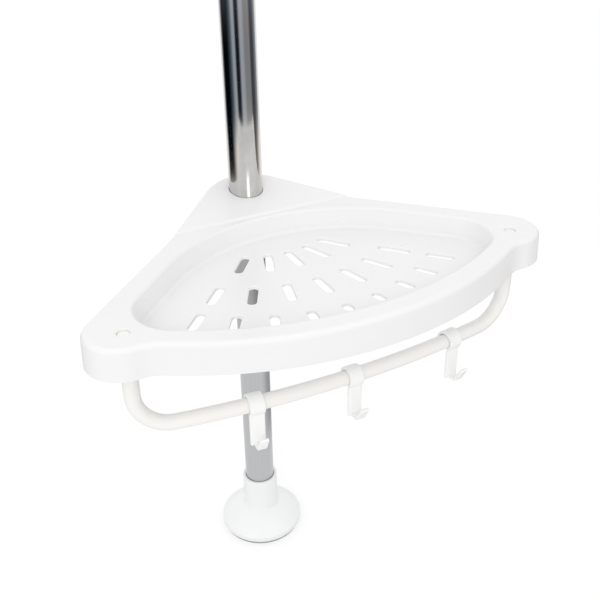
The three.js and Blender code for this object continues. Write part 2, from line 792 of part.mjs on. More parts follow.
// The towel rail's axis: down one leg, round a bend, along a gentle arc, and up the other leg
class RailPath extends THREE.Curve {
  constructor() {
    super();
    this.legAngle = Math.asin(railLegX / railArcRadius);
    this.bendAngle = railBendRadius / railArcRadius;
    this.stations = [1, 5, 8, 5, 1];
  }

  getUtoTmapping(u) {
    return u;
  }

  onArc(angle, height) {
    const y = railArcCentreY - railArcRadius * Math.cos(angle);
    return new THREE.Vector3(railArcRadius * Math.sin(angle), y, height);
  }

  bend(side, share) {
    const turn = (share * Math.PI) / 2;
    const along = this.bendAngle * (1 - Math.cos(turn));
    return this.onArc(side * (this.legAngle - along), railAxisHeight + railBendRadius * (1 - Math.sin(turn)));
  }

  getPoint(t) {
    const total = this.stations.reduce((sum, count) => sum + count, 0);
    let place = t * total;
    let part = 0;
    while (part < this.stations.length - 1 && place > this.stations[part]) {
      place -= this.stations[part];
      part += 1;
    }
    const share = place / this.stations[part];
    const legFoot = railAxisHeight + railBendRadius;
    const run = this.legAngle - this.bendAngle;
    if (part === 0) return this.onArc(-this.legAngle, railTop + (legFoot - railTop) * share);
    if (part === 1) return this.bend(-1, share);
    if (part === 2) return this.onArc(-run + 2 * run * share, railAxisHeight);
    if (part === 3) return this.bend(1, 1 - share);
    return this.onArc(this.legAngle, legFoot + (railTop - legFoot) * share);
  }
}

function towelRail() {
  const section = roundSection(railRadius, 12);
  section.holes.push(roundSection(railRadius - railWall, 10));
  const path = new RailPath();
  const steps = path.stations.reduce((sum, count) => sum + count, 0);
  return solid(new THREE.ExtrudeGeometry(section, { steps, extrudePath: path, bevelEnabled: false }));
}

function railPlug() {
  const stem = railRadius - railWall - seatGap;
  const top = rimHeight - railPlugSink;
  return turned([
    [0, top - railPlugLength],
    [stem - seatGap, top - railPlugLength],
    [stem, top - railPlugLength + 2 * seatGap],
    [stem, top - 2 * seatGap],
    [stem - 2 * seatGap, top],
    [0, top],
  ], smallRoundSteps);
}

// A hook about the rail's axis: X runs along the rail, -Y is outward
function hook() {
  const clipBore = railRadius + slideGap;
  const clipRadius = clipBore + hookClipWall;
  const [start, end] = [hookClipStart, hookClipEnd].map(THREE.MathUtils.degToRad);
  const clip = new THREE.Shape();
  clip.absarc(0, 0, clipRadius, start, end, false);
  clip.absarc(0, 0, clipBore - slideGap, end, start, true);
  const strip = new THREE.Shape();
  const stripBack = hookStripFront - hookThickness;
  strip.moveTo(stripBack, -hookDrop);
  strip.lineTo(hookStripFront, -hookDrop);
  strip.lineTo(hookStripFront, -hookStripFront);
  strip.lineTo(stripBack, -hookStripFront);
  const floorTop = hookThickness - hookDrop;
  const lip = new THREE.Vector2(hookReach - hookLipFoot, hookLipHeight).normalize();
  const across = new THREE.Vector2(lip.y, -lip.x).multiplyScalar(hookThickness / 2);
  const tipY = hookLipHeight - hookDrop;
  const tongue = new THREE.Shape();
  tongue.moveTo(stripBack, -hookDrop);
  tongue.lineTo(hookLipFoot - hookBendRadius, -hookDrop);
  tongue.quadraticCurveTo(hookLipFoot, -hookDrop, hookLipFoot + lip.x * hookBendRadius + across.x,
    lip.y * hookBendRadius + across.y - hookDrop + hookThickness / 2);
  tongue.lineTo(hookReach, tipY - hookThickness);
  tongue.quadraticCurveTo(hookReach, tipY, hookReach - hookThickness, tipY);
  tongue.lineTo(hookLipFoot - hookThickness / 2, floorTop + hookThickness / 2);
  tongue.quadraticCurveTo(hookLipFoot - hookThickness, floorTop, hookLipFoot - hookBendRadius - hookThickness,
    floorTop);
  tongue.lineTo(stripBack, floorTop);
  const widths = [[clip, hookWidth], [strip, hookWidth], [tongue, hookTongueWidth]];
  const pieces = widths.map(([shape, width]) => slab(shape, -width / 2, width / 2, 5));
  const bore = rod(clipBore, -hookWidth, hookWidth, 24);
  const standing = pieces[0].add(pieces[1]).add(pieces[2]).subtract(bore);
  return standing.rotate([90, 0, -90]);
}

// Finishes
const finishes = {
  tray_white: { color: 0xf2f3f4, roughness: 0.3, metalness: 0 },
  hook_white: { color: 0xf4f3f1, roughness: 0.32, metalness: 0 },
  fitting_white: { color: 0xeff0f1, roughness: 0.35, metalness: 0 },
  sleeve_grey: { color: 0xb9bcbe, roughness: 0.5, metalness: 0 },
  rail_cream: { color: 0xf3ece2, roughness: 0.3, metalness: 0 },
  chrome: { color: 0xc9cbcc, roughness: 0.12, metalness: 1 },
  spring_steel: { color: 0x8f9294, roughness: 0.35, metalness: 1 },
  soft_grey: { color: 0xa9abad, roughness: 0.8, metalness: 0 },
};

function mesh(name, body, finish) {
  const piece = new THREE.Mesh(geometryOf(body), new THREE.MeshStandardMaterial(finishes[finish]));
  piece.name = name;
  return piece;
}

const pole = new THREE.Group();
pole.add(mesh("foot_pad", turned(padProfile(footRadius, footShell, footCollar)), "soft_grey"));
pole.add(mesh("foot_cup", footCup(), "fitting_white"));
pole.add(mesh("lower_tube", pipe(lowerTubeRadius, lowerTubeBore, lowerTubeBottom, lowerTubeTop), "chrome"));
pole.add(mesh("lock_base", lockBase(), "fitting_white"));
pole.add(mesh("lock_nut", lockNut(), "fitting_white"));
pole.add(mesh("grip_ring", gripRing(), "sleeve_grey"));

const extension = new THREE.Group();
extension.add(mesh("upper_tube", pipe(upperTubeRadius, upperTubeBore, upperTubeBottom, upperTubeTop), "chrome"));
extension.add(mesh("guide_bush", guideBush(), "sleeve_grey"));
extension.add(mesh("mouth_ring", mouthRing(), "fitting_white"));
extension.add(mesh("spring_seat", springSeat(), "sleeve_grey"));
extension.add(mesh("tension_spring", tensionSpring(), "spring_steel"));

const head = new THREE.Group();
const ceilingPad = mesh("ceiling_pad", turned(padProfile(cupRadius, cupShell, cupCollar)), "soft_grey");
ceilingPad.rotation.x = Math.PI;
ceilingPad.position.z = cupTop + seatGap + padThickness;
head.add(mesh("plunger", plunger(), "sleeve_grey"));
head.add(mesh("head_rod", pipe(rodRadius, rodBore, rodBottom, rodTop), "chrome"));
head.add(mesh("ceiling_cup", ceilingCup(), "fitting_white"));
head.add(ceilingPad);

const shelf = new THREE.Group();
shelf.add(mesh("sleeve_left", sleeveHalf(-1), "sleeve_grey"));
shelf.add(mesh("sleeve_right", sleeveHalf(1), "sleeve_grey"));
shelf.add(mesh("tray", tray(), "tray_white"));
shelf.add(mesh("towel_rail", towelRail(), "rail_cream"));
for (const [name, side] of [["rail_plug_left", -1], ["rail_plug_right", 1]]) {
  const plug = mesh(name, railPlug(), "rail_cream");
  plug.position.set(side * railLegX, railLegY, 0);
  shelf.add(plug);
}
for (const [name, degrees] of Object.entries(hookAngles)) {
  const angle = THREE.MathUtils.degToRad(degrees);
  const piece = mesh(name, hook(), "hook_white");
  piece.position.set(
    railArcRadius * Math.sin(angle),
    railArcCentreY - railArcRadius * Math.cos(angle),
    railAxisHeight,
  );
  piece.rotation.z = angle;
  shelf.add(piece);
}

const unit = new THREE.Group();
unit.add(pole, extension, head, shelf);

export default unit;
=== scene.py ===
# %% [markdown]
# # A corner shelf on a tension pole
# A steel pole stands between floor and ceiling, pressed apart by a spring, and a white plastic tray is
# wedged on it. A towel rail hangs below the tray's bowed front and three hooks are clipped over the rail.
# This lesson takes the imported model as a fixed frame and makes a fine-surfaced piece for each of its
# solids, in the same place.

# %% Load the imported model
import json
from functools import partialmethod
from math import acos, asin, atan2, cos, degrees, hypot, pi, radians, sin, sqrt, tan

import bmesh
import bpy
from mathutils import Matrix, Vector


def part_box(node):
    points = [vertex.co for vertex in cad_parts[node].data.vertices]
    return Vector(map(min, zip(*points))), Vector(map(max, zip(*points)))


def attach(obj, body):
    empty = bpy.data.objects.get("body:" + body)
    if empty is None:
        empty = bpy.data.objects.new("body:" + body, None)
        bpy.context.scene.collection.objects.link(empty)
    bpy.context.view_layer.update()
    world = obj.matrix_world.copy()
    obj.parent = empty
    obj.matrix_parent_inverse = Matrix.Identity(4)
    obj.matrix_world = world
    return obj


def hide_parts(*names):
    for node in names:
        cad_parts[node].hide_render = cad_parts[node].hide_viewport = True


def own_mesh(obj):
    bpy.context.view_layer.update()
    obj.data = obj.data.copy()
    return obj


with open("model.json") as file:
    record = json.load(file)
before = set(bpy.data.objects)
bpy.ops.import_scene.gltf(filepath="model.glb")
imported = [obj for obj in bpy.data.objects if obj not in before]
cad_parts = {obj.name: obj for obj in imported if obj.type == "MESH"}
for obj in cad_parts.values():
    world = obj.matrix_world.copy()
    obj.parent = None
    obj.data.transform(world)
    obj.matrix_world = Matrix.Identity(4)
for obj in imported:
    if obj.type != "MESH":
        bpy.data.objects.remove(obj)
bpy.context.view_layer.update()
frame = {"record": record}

# %% [markdown]
# ## Camera first
# The picture was taken from above and to the left of the pole. A camera is fixed by where it stands, by
# three turns and by its lens, and these were found by matching known corners of the tray. Setting the
# camera up first means that every later piece can be judged in the right view.

# %% Camera
camera_place = Vector((-0.2276, -0.5381, 0.5807))
camera_yaw = radians(-26.76)
camera_pitch = radians(30.55)
camera_roll = radians(-0.88)
camera_lens = 50.556
camera_sensor = 36.0


def in_scene(name, data):
    thing = bpy.data.objects.new(name, data)
    bpy.context.scene.collection.objects.link(thing)
    return thing


def camera_frame():
    level = Vector((cos(camera_yaw), sin(camera_yaw), 0))
    forward = cos(camera_pitch)
    ahead = Vector((-sin(camera_yaw) * forward, cos(camera_yaw) * forward, -sin(camera_pitch)))
    above = level.cross(ahead)
    right = cos(camera_roll) * level + sin(camera_roll) * above
    up = cos(camera_roll) * above - sin(camera_roll) * level
    return Matrix((right, up, -ahead)).transposed().to_4x4()


camera_data = bpy.data.cameras.new("camera")
camera_data.lens = camera_lens
camera_data.sensor_width = camera_sensor
camera = in_scene("camera", camera_data)
camera.matrix_world = Matrix.Translation(camera_place) @ camera_frame()
bpy.context.scene.camera = camera
print("Camera looks", round(degrees(camera_pitch), 1), "degrees down")

# %% [markdown]
# ## Making meshes
# Most pieces of such a product are turned, moulded or pressed, so a few helpers cover them. All sizes
# below are in millimetres, as on a maker's drawing, and a mesh is scaled to metres in one place. A real
# edge is never sharp, so an outline's corner may carry a small radius, which becomes a short arc.

# %% Helpers for closed meshes
MM = 0.001
on_axis = 1e-6
coarse_steps, common_steps, fine_steps = 48, 96, 128


def point_outwards(shape):
    mesh = bmesh.new()
    mesh.from_mesh(shape)
    bmesh.ops.recalc_face_normals(mesh, faces=mesh.faces)
    mesh.to_mesh(shape)
    mesh.free()


def piece_from(name, corners, faces):
    shape = bpy.data.meshes.new(name)
    shape.from_pydata([Vector(corner) * MM for corner in corners], [], faces)
    point_outwards(shape)
    return in_scene(name, shape)


def row_numbers(row, count):
    """The numbers of the corners in a row, where every row holds the same count."""
    return list(range(row * count, (row + 1) * count))


def faces_between(low, high):
    """The faces between two closed rows, either of which may be one corner repeated, as at a cone's tip."""
    faces = zip(low, low[1:] + low[:1], high[1:] + high[:1], high)
    return [list(dict.fromkeys(face)) for face in faces if len(set(face)) > 2]


def eased(outline, steps=4):
    """Corners as (x, y) or (x, y, radius), where a corner with a radius becomes an arc."""
    points = []
    for i, corner in enumerate(outline):
        here = Vector(corner[:2])
        if len(corner) < 3:
            points.append(here)
            continue
        back = (Vector(outline[i - 1][:2]) - here).normalized()
        ahead = (Vector(outline[(i + 1) % len(outline)][:2]) - here).normalized()
        half = back.angle(ahead) / 2
        centre = here + (back + ahead).normalized() * corner[2] / sin(half)
        first = here + back * corner[2] / tan(half) - centre
        last = here + ahead * corner[2] / tan(half) - centre
        turn = atan2(first.x * last.y - first.y * last.x, first.dot(last))
        for step in range(steps + 1):
            points.append(centre + Matrix.Rotation(turn * step / steps, 2) @ first)
    return points


def turned(name, profile, steps=common_steps):
    """A lathe shape from (radius, height) corners that start and end on the axis or close on themselves."""
    points = eased(profile)
    corners = []
    rows = []
    for radius, height in points:
        if radius < on_axis:
            rows.append([len(corners)] * steps)
            corners.append((0, 0, height))
            continue
        rows.append([len(corners) + i for i in range(steps)])
        for i in range(steps):
            angle = 2 * pi * i / steps
            corners.append((radius * cos(angle), radius * sin(angle), height))
    pairs = list(zip(rows, rows[1:]))
    if points[0].x > on_axis:
        pairs.append((rows[-1], rows[0]))
    faces = [face for low, high in pairs for face in faces_between(low, high)]
    return piece_from(name, corners, faces)


def post(name, radius, bottom, top, steps=64):
    return turned(name, [(0, bottom), (radius, bottom), (radius, top), (0, top)], steps)


def block(name, size, centre):
    half = Vector(size) / 2
    corners = [Vector(centre) + Vector((x * half.x, y * half.y, z * half.z))
               for x in (-1, 1) for y in (-1, 1) for z in (-1, 1)]
    faces = [(0, 1, 3, 2), (4, 6, 7, 5), (0, 4, 5, 1), (2, 3, 7, 6), (0, 2, 6, 4), (1, 5, 7, 3)]
    return piece_from(name, corners, faces)


print("Helpers ready: outlines, turned shapes and blocks")

# %% [markdown]
# A modifier's result becomes a plain mesh through the evaluated object. Joining and cutting use the
# Boolean modifier with its manifold solver, which is quick and exact on closed meshes. Smooth shading
# with sharp edges kept, and normals weighted by face area, lets the broad flat faces stay flat right up
# to their rounded edges.

# %% Helpers for joining, cutting and shading
crease_angle = radians(32)
softened_angle = radians(40)


def applied(piece):
    depsgraph = bpy.context.evaluated_depsgraph_get()
    shape = bpy.data.meshes.new_from_object(piece.evaluated_get(depsgraph))
    piece.modifiers.clear()
    piece.data = shape
    return piece


def open_edges(piece):
    mesh = bmesh.new()
    mesh.from_mesh(piece.data)
    count = sum(len(edge.link_faces) != 2 for edge in mesh.edges)
    mesh.free()
    return count


def combine(piece, tool, operation):
    """Joins or cuts closed meshes: an open one would be skipped in silence, so it stops the script."""
    for one in (piece, tool):
        if open_edges(one):
            raise ValueError(f"{one.name} is not closed")
    step = piece.modifiers.new("combine", "BOOLEAN")
    step.operation = operation
    step.solver = "MANIFOLD"
    step.object = tool
    applied(piece)
    bpy.data.objects.remove(tool)
    return piece


def cut(piece, tool):
    return combine(piece, tool, "DIFFERENCE")


def joined(piece, tool):
    return combine(piece, tool, "UNION")


def trimmed(piece, tool):
    return combine(piece, tool, "INTERSECT")


def moved(piece, matrix):
    """Places a mesh for good: its object stays at the origin."""
    piece.data.transform(matrix)
    return piece


def placed(piece, x, y, z, angle=0):
    turn = Matrix.Rotation(angle, 4, "Z")
    return moved(piece, Matrix.Translation(Vector((x, y, z)) * MM) @ turn)


def hung(piece, top):
    """Turns a piece that was made standing upside down, below a height."""
    return moved(piece, Matrix.Translation((0, 0, top * MM)) @ Matrix.Rotation(pi, 4, "X"))


def softened(piece, width, segments=3):
    step = piece.modifiers.new("soften", "BEVEL")
    step.width = width * MM
    step.segments = segments
    step.limit_method = "ANGLE"
    step.angle_limit = softened_angle
    return applied(piece)


def shaded(piece):
    piece.data.polygons.foreach_set("use_smooth", [True] * len(piece.data.polygons))
    piece.data.set_sharp_from_angle(angle=crease_angle)
    step = piece.modifiers.new("weight", "WEIGHTED_NORMAL")
    step.keep_sharp = True
    return applied(piece)


print("Helpers ready: joins, cuts, softened edges and shading")

# %% [markdown]
# ## Node trees as formulas
# Geometry Nodes and shader nodes both do sums with Math nodes, which are hard to read as a web of links.
# A small class stands for a value inside a tree, so that a rule can be written as an ordinary formula and
# the nodes are added behind it. One loop gives the class a method for each kind of sum.

# %% Writing node trees
class Value:
    def __init__(self, tree, socket):
        self.tree = tree
        self.socket = socket

    def math(self, operation, *others):
        inputs = dict(enumerate((self, *others)))
        return node(self.tree, "ShaderNodeMath", inputs, operation=operation)


sums = {"__add__": "ADD", "__sub__": "SUBTRACT", "__mul__": "MULTIPLY", "__truediv__": "DIVIDE",
        "__pow__": "POWER", "__abs__": "ABSOLUTE", "at_least": "MAXIMUM", "at_most": "MINIMUM",
        "sine": "SINE", "cosine": "COSINE", "sign": "SIGN", "root": "SQRT", "heading": "ARCTAN2"}
for method, operation in sums.items():
    setattr(Value, method, partialmethod(Value.math, operation))


def node(tree, kind, inputs=None, output=0, **settings):
    """Adds a node, plugs its inputs and gives one of its outputs."""
    made = tree.nodes.new(kind)
    for name, setting in settings.items():
        setattr(made, name, setting)
    for name, value in (inputs or {}).items():
        if isinstance(value, Value):
            tree.links.new(value.socket, made.inputs[name])
        else:
            made.inputs[name].default_value = value
    return Value(tree, made.outputs[output])


def vector(tree, x, y, z):
    return node(tree, "ShaderNodeCombineXYZ", {0: x, 1: y, 2: z})


def parts(tree, value):
    split = node(tree, "ShaderNodeSeparateXYZ", {0: value})
    return [Value(tree, output) for output in split.socket.node.outputs]


print("Formulas can be written for node trees")

# %% [markdown]
# A recipe is a geometry node tree with named sizes. It starts from a row of points, each put in its place
# by a formula, on which shapes are set or along which a tube is drawn. It ends in Realize Instances and
# Set Material, because an export knows nothing of instances, and its result is turned into a plain mesh.

# %% Geometry recipes
def recipe(name, *sizes):
    tree = bpy.data.node_groups.new(name, "GeometryNodeTree")
    tree.interface.new_socket("Geometry", in_out="OUTPUT", socket_type="NodeSocketGeometry")
    kinds = {"count": "NodeSocketInt", "shape": "NodeSocketObject"}
    for size in sizes:
        kind = kinds.get(size.split()[-1], "NodeSocketFloat")
        tree.interface.new_socket(size, in_out="INPUT", socket_type=kind)
    inlet = tree.nodes.new("NodeGroupInput")
    return tree, [Value(tree, inlet.outputs[size]) for size in sizes]


def place_in_row(tree):
    return node(tree, "GeometryNodeInputIndex")


def row_of_points(tree, count, spot):
    row = node(tree, "GeometryNodeMeshLine", {"Count": count})
    return node(tree, "GeometryNodeSetPosition", {"Geometry": row, "Position": spot})


def round_the_axis(tree, count, reach, height):
    """Points evenly round the upright axis, and each one's direction."""
    angle = (place_in_row(tree) + 0.5) / count * (2 * pi)
    spot = vector(tree, reach * angle.cosine(), reach * angle.sine(), height)
    return row_of_points(tree, count, spot), angle


def tube_along(tree, row, radius, sides):
    path = node(tree, "GeometryNodeMeshToCurve", {"Mesh": row})
    section = node(tree, "GeometryNodeCurvePrimitiveCircle", {"Resolution": sides, "Radius": radius})
    return node(tree, "GeometryNodeCurveToMesh",
                {"Curve": path, "Profile Curve": section, "Fill Caps": True})


def serve(tree, geometry, finish):
    whole = node(tree, "GeometryNodeRealizeInstances", {"Geometry": geometry})
    dressed = node(tree, "GeometryNodeSetMaterial", {"Geometry": whole, "Material": finish})
    outlet = tree.nodes.new("NodeGroupOutput")
    tree.links.new(dressed.socket, outlet.inputs[0])
    return tree


def grown(name, tree, lengths, others):
    """Runs a recipe: lengths are given in millimetres, and others are counts, angles and shapes."""
    piece = piece_from(name, [], [])
    step = piece.modifiers.new(tree.name, "NODES")
    step.node_group = tree
    sizes = {**{size: length * MM for size, length in lengths.items()}, **others}
    for item in tree.interface.items_tree:
        if item.in_out == "INPUT":
            step[item.identifier] = sizes[item.name]
    applied(piece)
    point_outwards(piece.data)
    return piece


print("Recipes can be grown into meshes")

# %% [markdown]
# ## Finishes
# Injection-moulded white plastic is never one flat colour. Its gloss drifts a little where the mould was
# polished by hand, its surface has a faint waviness, and thick places look a shade denser. Noise on the
# object's own coordinates gives all three, so that the pattern stays on the piece whichever way it is
# seen.

# %% Moulded plastics
def blank_material(name, metallic=0):
    material = bpy.data.materials.new(name)
    material.use_nodes = True
    tree = material.node_tree
    shader = tree.nodes["Principled BSDF"]
    shader.inputs["Metallic"].default_value = metallic
    return material, tree, shader, node(tree, "ShaderNodeTexCoord", output="Object")


def noise(tree, place, scale, detail=3.0):
    return node(tree, "ShaderNodeTexNoise", {"Vector": place, "Scale": scale, "Detail": detail},
                output="Fac")


def blend(tree, share, first, second, way="MIX"):
    """Mixes or multiplies two colours, each one a value in the tree or plain red, green and blue."""
    first, second = [one if isinstance(one, Value) else (*one, 1) for one in (first, second)]
    return node(tree, "ShaderNodeMix", {0: share, 6: first, 7: second}, output=2, data_type="RGBA",
                blend_type=way)


def between(tree, value, low, high):
    return node(tree, "ShaderNodeMapRange", {"Value": value, "To Min": low, "To Max": high})


def coated(tree, shader, colour, roughness, relief, strength, depth):
    """Plugs a finish together: its relief is a height map that stands for a depth in metres."""
    bump = node(tree, "ShaderNodeBump", {"Height": relief, "Strength": strength, "Distance": depth})
    for name, value in (("Base Color", colour), ("Roughness", roughness), ("Normal", bump)):
        tree.links.new(value.socket, shader.inputs[name])


def moulded(name, colour, gloss, denser=0.975, wave=0.10, grain=0.05):
    """White plastic: gloss is the range of its roughness, denser how much it darkens in patches."""
    material, tree, shader, place = blank_material(name)
    patches = noise(tree, place, scale=22.0)
    shade = blend(tree, patches, colour, [part * denser for part in colour])
    drift = noise(tree, place, scale=55.0, detail=4.0)
    waves = noise(tree, place, scale=90.0, detail=1.0) * wave
    grains = noise(tree, place, scale=1600.0, detail=2.0) * grain
    coated(tree, shader, shade, between(tree, drift, *gloss), waves + grains, strength=0.35, depth=0.0003)
    return material


finishes = {
    "tray_white": moulded("tray_white", (0.86, 0.86, 0.86), (0.24, 0.36)),
    "hook_white": moulded("hook_white", (0.95, 0.95, 0.942), (0.26, 0.38), wave=0.05),
    "fitting_white": moulded("fitting_white", (0.90, 0.905, 0.905), (0.28, 0.42)),
    "sleeve_grey": moulded("sleeve_grey", (0.50, 0.51, 0.52), (0.42, 0.58), denser=0.9, grain=0.4),
}
print("Moulded plastics:", ", ".join(finishes))

# %% [markdown]
# The pole is thin steel tube with a bright plating. It was drawn through a die, which left faint marks
# along it, and buffed while it turned, which left very fine lines round it. Noise drawn out one way or
# the other gives both: the first as a change of shade, the second as a slight bump and a change of gloss.
# The spring is drawn wire, duller and streaked, and the pads are matt rubber with a fine grain.

# %% Metals and rubber
def drawn_out(tree, place, scale_round, scale_along, detail):
    x, y, z = parts(tree, place)
    return noise(tree, vector(tree, x * scale_round, y * scale_round, z * scale_along), 1.0, detail)


def plated_steel():
    material, tree, shader, place = blank_material("chrome", metallic=1)
    lines = drawn_out(tree, place, scale_round=18.0, scale_along=5200.0, detail=3.0)
    marks = drawn_out(tree, place, scale_round=420.0, scale_along=5.0, detail=2.0)
    clouds = noise(tree, place, scale=30.0, detail=4.0) * 0.4
    share = between(tree, marks * 0.6 + clouds, -0.2, 1.2)
    shade = blend(tree, share, (0.69, 0.68, 0.66), (0.62, 0.61, 0.595))
    gloss = between(tree, lines * 0.6 + clouds, 0.055, 0.15)
    coated(tree, shader, shade, gloss, lines, strength=0.05, depth=0.00004)
    return material


def spring_wire():
    material, tree, shader, place = blank_material("spring_steel", metallic=1)
    streaks = drawn_out(tree, place, scale_round=160.0, scale_along=1400.0, detail=4.0)
    shade = blend(tree, streaks, (0.30, 0.31, 0.32), (0.42, 0.42, 0.43))
    coated(tree, shader, shade, between(tree, streaks, 0.28, 0.48), streaks, strength=0.25, depth=0.00005)
    return material


def soft_rubber():
    material, tree, shader, place = blank_material("soft_grey")
    grains = noise(tree, place, scale=1300.0)
    dust = noise(tree, place, scale=60.0, detail=4.0)
    shade = blend(tree, dust, (0.40, 0.41, 0.42), (0.34, 0.35, 0.36))
    coated(tree, shader, shade, between(tree, dust, 0.7, 0.88), grains, strength=0.4, depth=0.0001)
    return material


finishes["chrome"] = plated_steel()
finishes["spring_steel"] = spring_wire()
finishes["soft_grey"] = soft_rubber()
print("Finishes so far:", len(finishes))

# %% [markdown]
# The towel rail is steel tube with a baked cream-white coat. The coat flows a little as it bakes, which
# leaves a soft orange-peel surface under a clear shine, and it is slightly warmer than the tray.

# %% Coated rail
def baked_coat():
    material, tree, shader, place = blank_material("rail_cream")
    shader.inputs["Coat Weight"].default_value = 0.2
    shader.inputs["Coat Roughness"].default_value = 0.12
    patches = noise(tree, place, scale=30.0)
    shade = blend(tree, patches, (0.922, 0.903, 0.878), (0.905, 0.885, 0.86))
    peel = noise(tree, place, scale=420.0, detail=2.0)
    coated(tree, shader, shade, between(tree, patches, 0.26, 0.36), peel, strength=0.2, depth=0.0001)
    return material


finishes["rail_cream"] = baked_coat()
print("Finishes:", ", ".join(sorted(finishes)))

# %% [markdown]
# ## Handing a piece over
# Every piece rides on a body of the model, so that it moves with it, and stands for one of the model's
# solids, which is then hidden. The model's record names the body and the finish of each solid, so one
# function can look both up. A solid's box gives the places that a piece has to keep.

# %% Finish and place a piece
record = frame["record"]
body_of = {node_name: body for body, names in record["behaviour"]["bodies"].items() for node_name in names}
finish_of = {part["node"]: part["material_slot"] for part in record["subparts"]}


def finished(piece, node_name):
    body, finish = body_of[node_name], finish_of[node_name]
    shaded(piece)
    piece.data.materials.clear()
    piece.data.materials.append(finishes[finish])
    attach(piece, body)
    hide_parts(node_name)
    print(f"{piece.name}: {len(piece.data.polygons)} faces, {finish}, on {body}")


def ends(node_name):
    lowest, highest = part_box(node_name)
    return lowest[2] / MM, highest[2] / MM


def widest(node_name):
    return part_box(node_name)[1][0] / MM


gap = 0.3
overrun = 2.0
burr_edge, crisp_edge, soft_edge, round_edge = 0.3, 0.4, 0.5, 0.8
sides = {"left": -1, "right": 1}
tube_wall = 1.0
tube_radius = widest("lower_tube")
upper_radius = widest("upper_tube")
rod_radius = widest("head_rod")
print("Tube radii:", [round(radius, 2) for radius in (tube_radius, upper_radius, rod_radius)], "mm")

# %% [markdown]
# ## The tray: its outline
# Seen from above, the tray has two straight sides against the walls, a round corner behind the pole, a
# lobe at each end and a bowed front, joined to the lobes by short hollow curves. All of these are arcs
# that touch each other, so the outline can be drawn in by any amount: outward curves lose radius, hollow
# ones gain it. That is what makes a loft of such outlines behave like a real moulded edge.

# %% Tray sizes
root2 = sqrt(2)
quarter = pi / 4
wall_distance = 26.1
back_corner_radius = 39.5
ear_radius = 23.0
ear_reach = 190.6
front_arc_radius = 235.5
front_reach = 192.7
notch_radius = 25.0
rim_height = 326.0
rim_edge = 3.6
skirt_height = 20.8
skirt_draft = 0.8
tray_wall = 2.4
platform_front = 33.0
platform_step = 1.2
platform_slope = 0.206
crease_half = 1.4
crease_steps = 8
crease_rows = [-platform_front + crease_half * (1 - 2 * i / crease_steps) for i in range(crease_steps + 1)]
back_steps, ear_steps, notch_steps, front_steps = 24, 30, 10, 90

front_setback = front_arc_radius - front_reach
ear_x = (ear_reach + wall_distance - ear_radius) / root2
ear_y = (wall_distance - ear_radius - ear_reach) / root2
skirt_bottom = rim_height - skirt_height


def arc(x, y, radius, start, end, steps, keep_last=False):
    points = []
    for i in range(steps + keep_last):
        angle = start + (end - start) * i / steps
        points.append(Vector((x + radius * cos(angle), y + radius * sin(angle))))
    return points


def tray_outline(inset):
    corner_y = (wall_distance - back_corner_radius) * root2
    reach = hypot(ear_x, ear_y - front_setback)
    to_notch = front_arc_radius + notch_radius
    ear_to_notch = ear_radius + notch_radius
    turn = acos((reach**2 + to_notch**2 - ear_to_notch**2) / (2 * reach * to_notch))
    notch_angle = atan2(ear_y - front_setback, ear_x) - turn
    notch_x = to_notch * cos(notch_angle)
    notch_y = front_setback + to_notch * sin(notch_angle)
    ear_angle = atan2(notch_y - ear_y, notch_x - ear_x)
    notch = notch_radius + inset
    side = (wall_distance - inset) * root2
    return [
        *arc(0, corner_y, back_corner_radius - inset, quarter, 3 * quarter, back_steps, True),
        *[Vector((y - side, y)) for y in crease_rows],
        *arc(-ear_x, ear_y, ear_radius - inset, 3 * quarter, pi - ear_angle, ear_steps),
        *arc(-notch_x, notch_y, notch, -ear_angle, -notch_angle, notch_steps),
        *arc(0, front_setback, front_arc_radius - inset, pi - notch_angle, 2 * pi + notch_angle,
             front_steps),
        *arc(notch_x, notch_y, notch, pi + notch_angle, pi + ear_angle, notch_steps),
        *arc(ear_x, ear_y, ear_radius - inset, ear_angle, quarter, ear_steps, True),
        *[Vector((side - y, y)) for y in reversed(crease_rows)],
    ]


print("Outline points:", len(tray_outline(0)))

# %% [markdown]
# ## The tray: lofted body
# The front of the rim is level. Behind a faint crease the corner rises gently towards the wall, and the
# pole passes through that raised part. The height is therefore a function of the distance from front to
# back, and the crease is a short S-shaped ramp, given rows of points of its own so that it stays crisp
# across the whole top.

# %% Lofts
def top_level(y):
    past = y + platform_front
    share = min(max((past + crease_half) / (2 * crease_half), 0), 1)
    return rim_height + platform_step * share * share * (3 - 2 * share) + platform_slope * max(past, 0)


def ring(outline, height):
    return [Vector((p.x, p.y, height(p.y) if callable(height) else height)) for p in outline]


def rounded_edge(radius, steps):
    """Quarter-round steps from an upright face to a flat one, as (inset, drop) pairs."""
    angles = [pi / 2 * i / steps for i in range(steps + 1)]
    return [(radius * (1 - cos(angle)), radius * (1 - sin(angle))) for angle in angles]


def creased_cap(count, first):
    """A ring's flat faces: behind the crease, before it, and a strip between each two of its rows."""
    left = [back_steps + 1 + i for i in range(len(crease_rows))]
    right = [count - 1 - i for i in range(len(crease_rows))]
    back = [right[0], *range(left[0] + 1)]
    front = list(range(left[-1], right[-1] + 1))
    strips = [[left[i], left[i + 1], right[i + 1], right[i]] for i in range(crease_steps)]
    return [[first + i for i in face] for face in (back, front, *strips)]


def loft(name, rings, creased=False):
    count = len(rings[0])
    rows = [row_numbers(row, count) for row in range(len(rings))]
    sides = [face for low, high in zip(rows, rows[1:]) for face in faces_between(low, high)]
    cap = creased_cap(count, rows[-1][0]) if creased else [rows[-1]]
    return piece_from(name, [point for one in rings for point in one], [rows[0], *sides, *cap])


def tray_block(name, inset, roof, floor_level, steps):
    rings = [ring(tray_outline(inset - skirt_draft), floor_level)]
    for draw, drop in rounded_edge(max(rim_edge - inset, tray_wall / 2), steps):
        rings.append(ring(tray_outline(inset + draw), lambda y: top_level(y) - roof - drop))
    return loft(name, rings, creased=True)


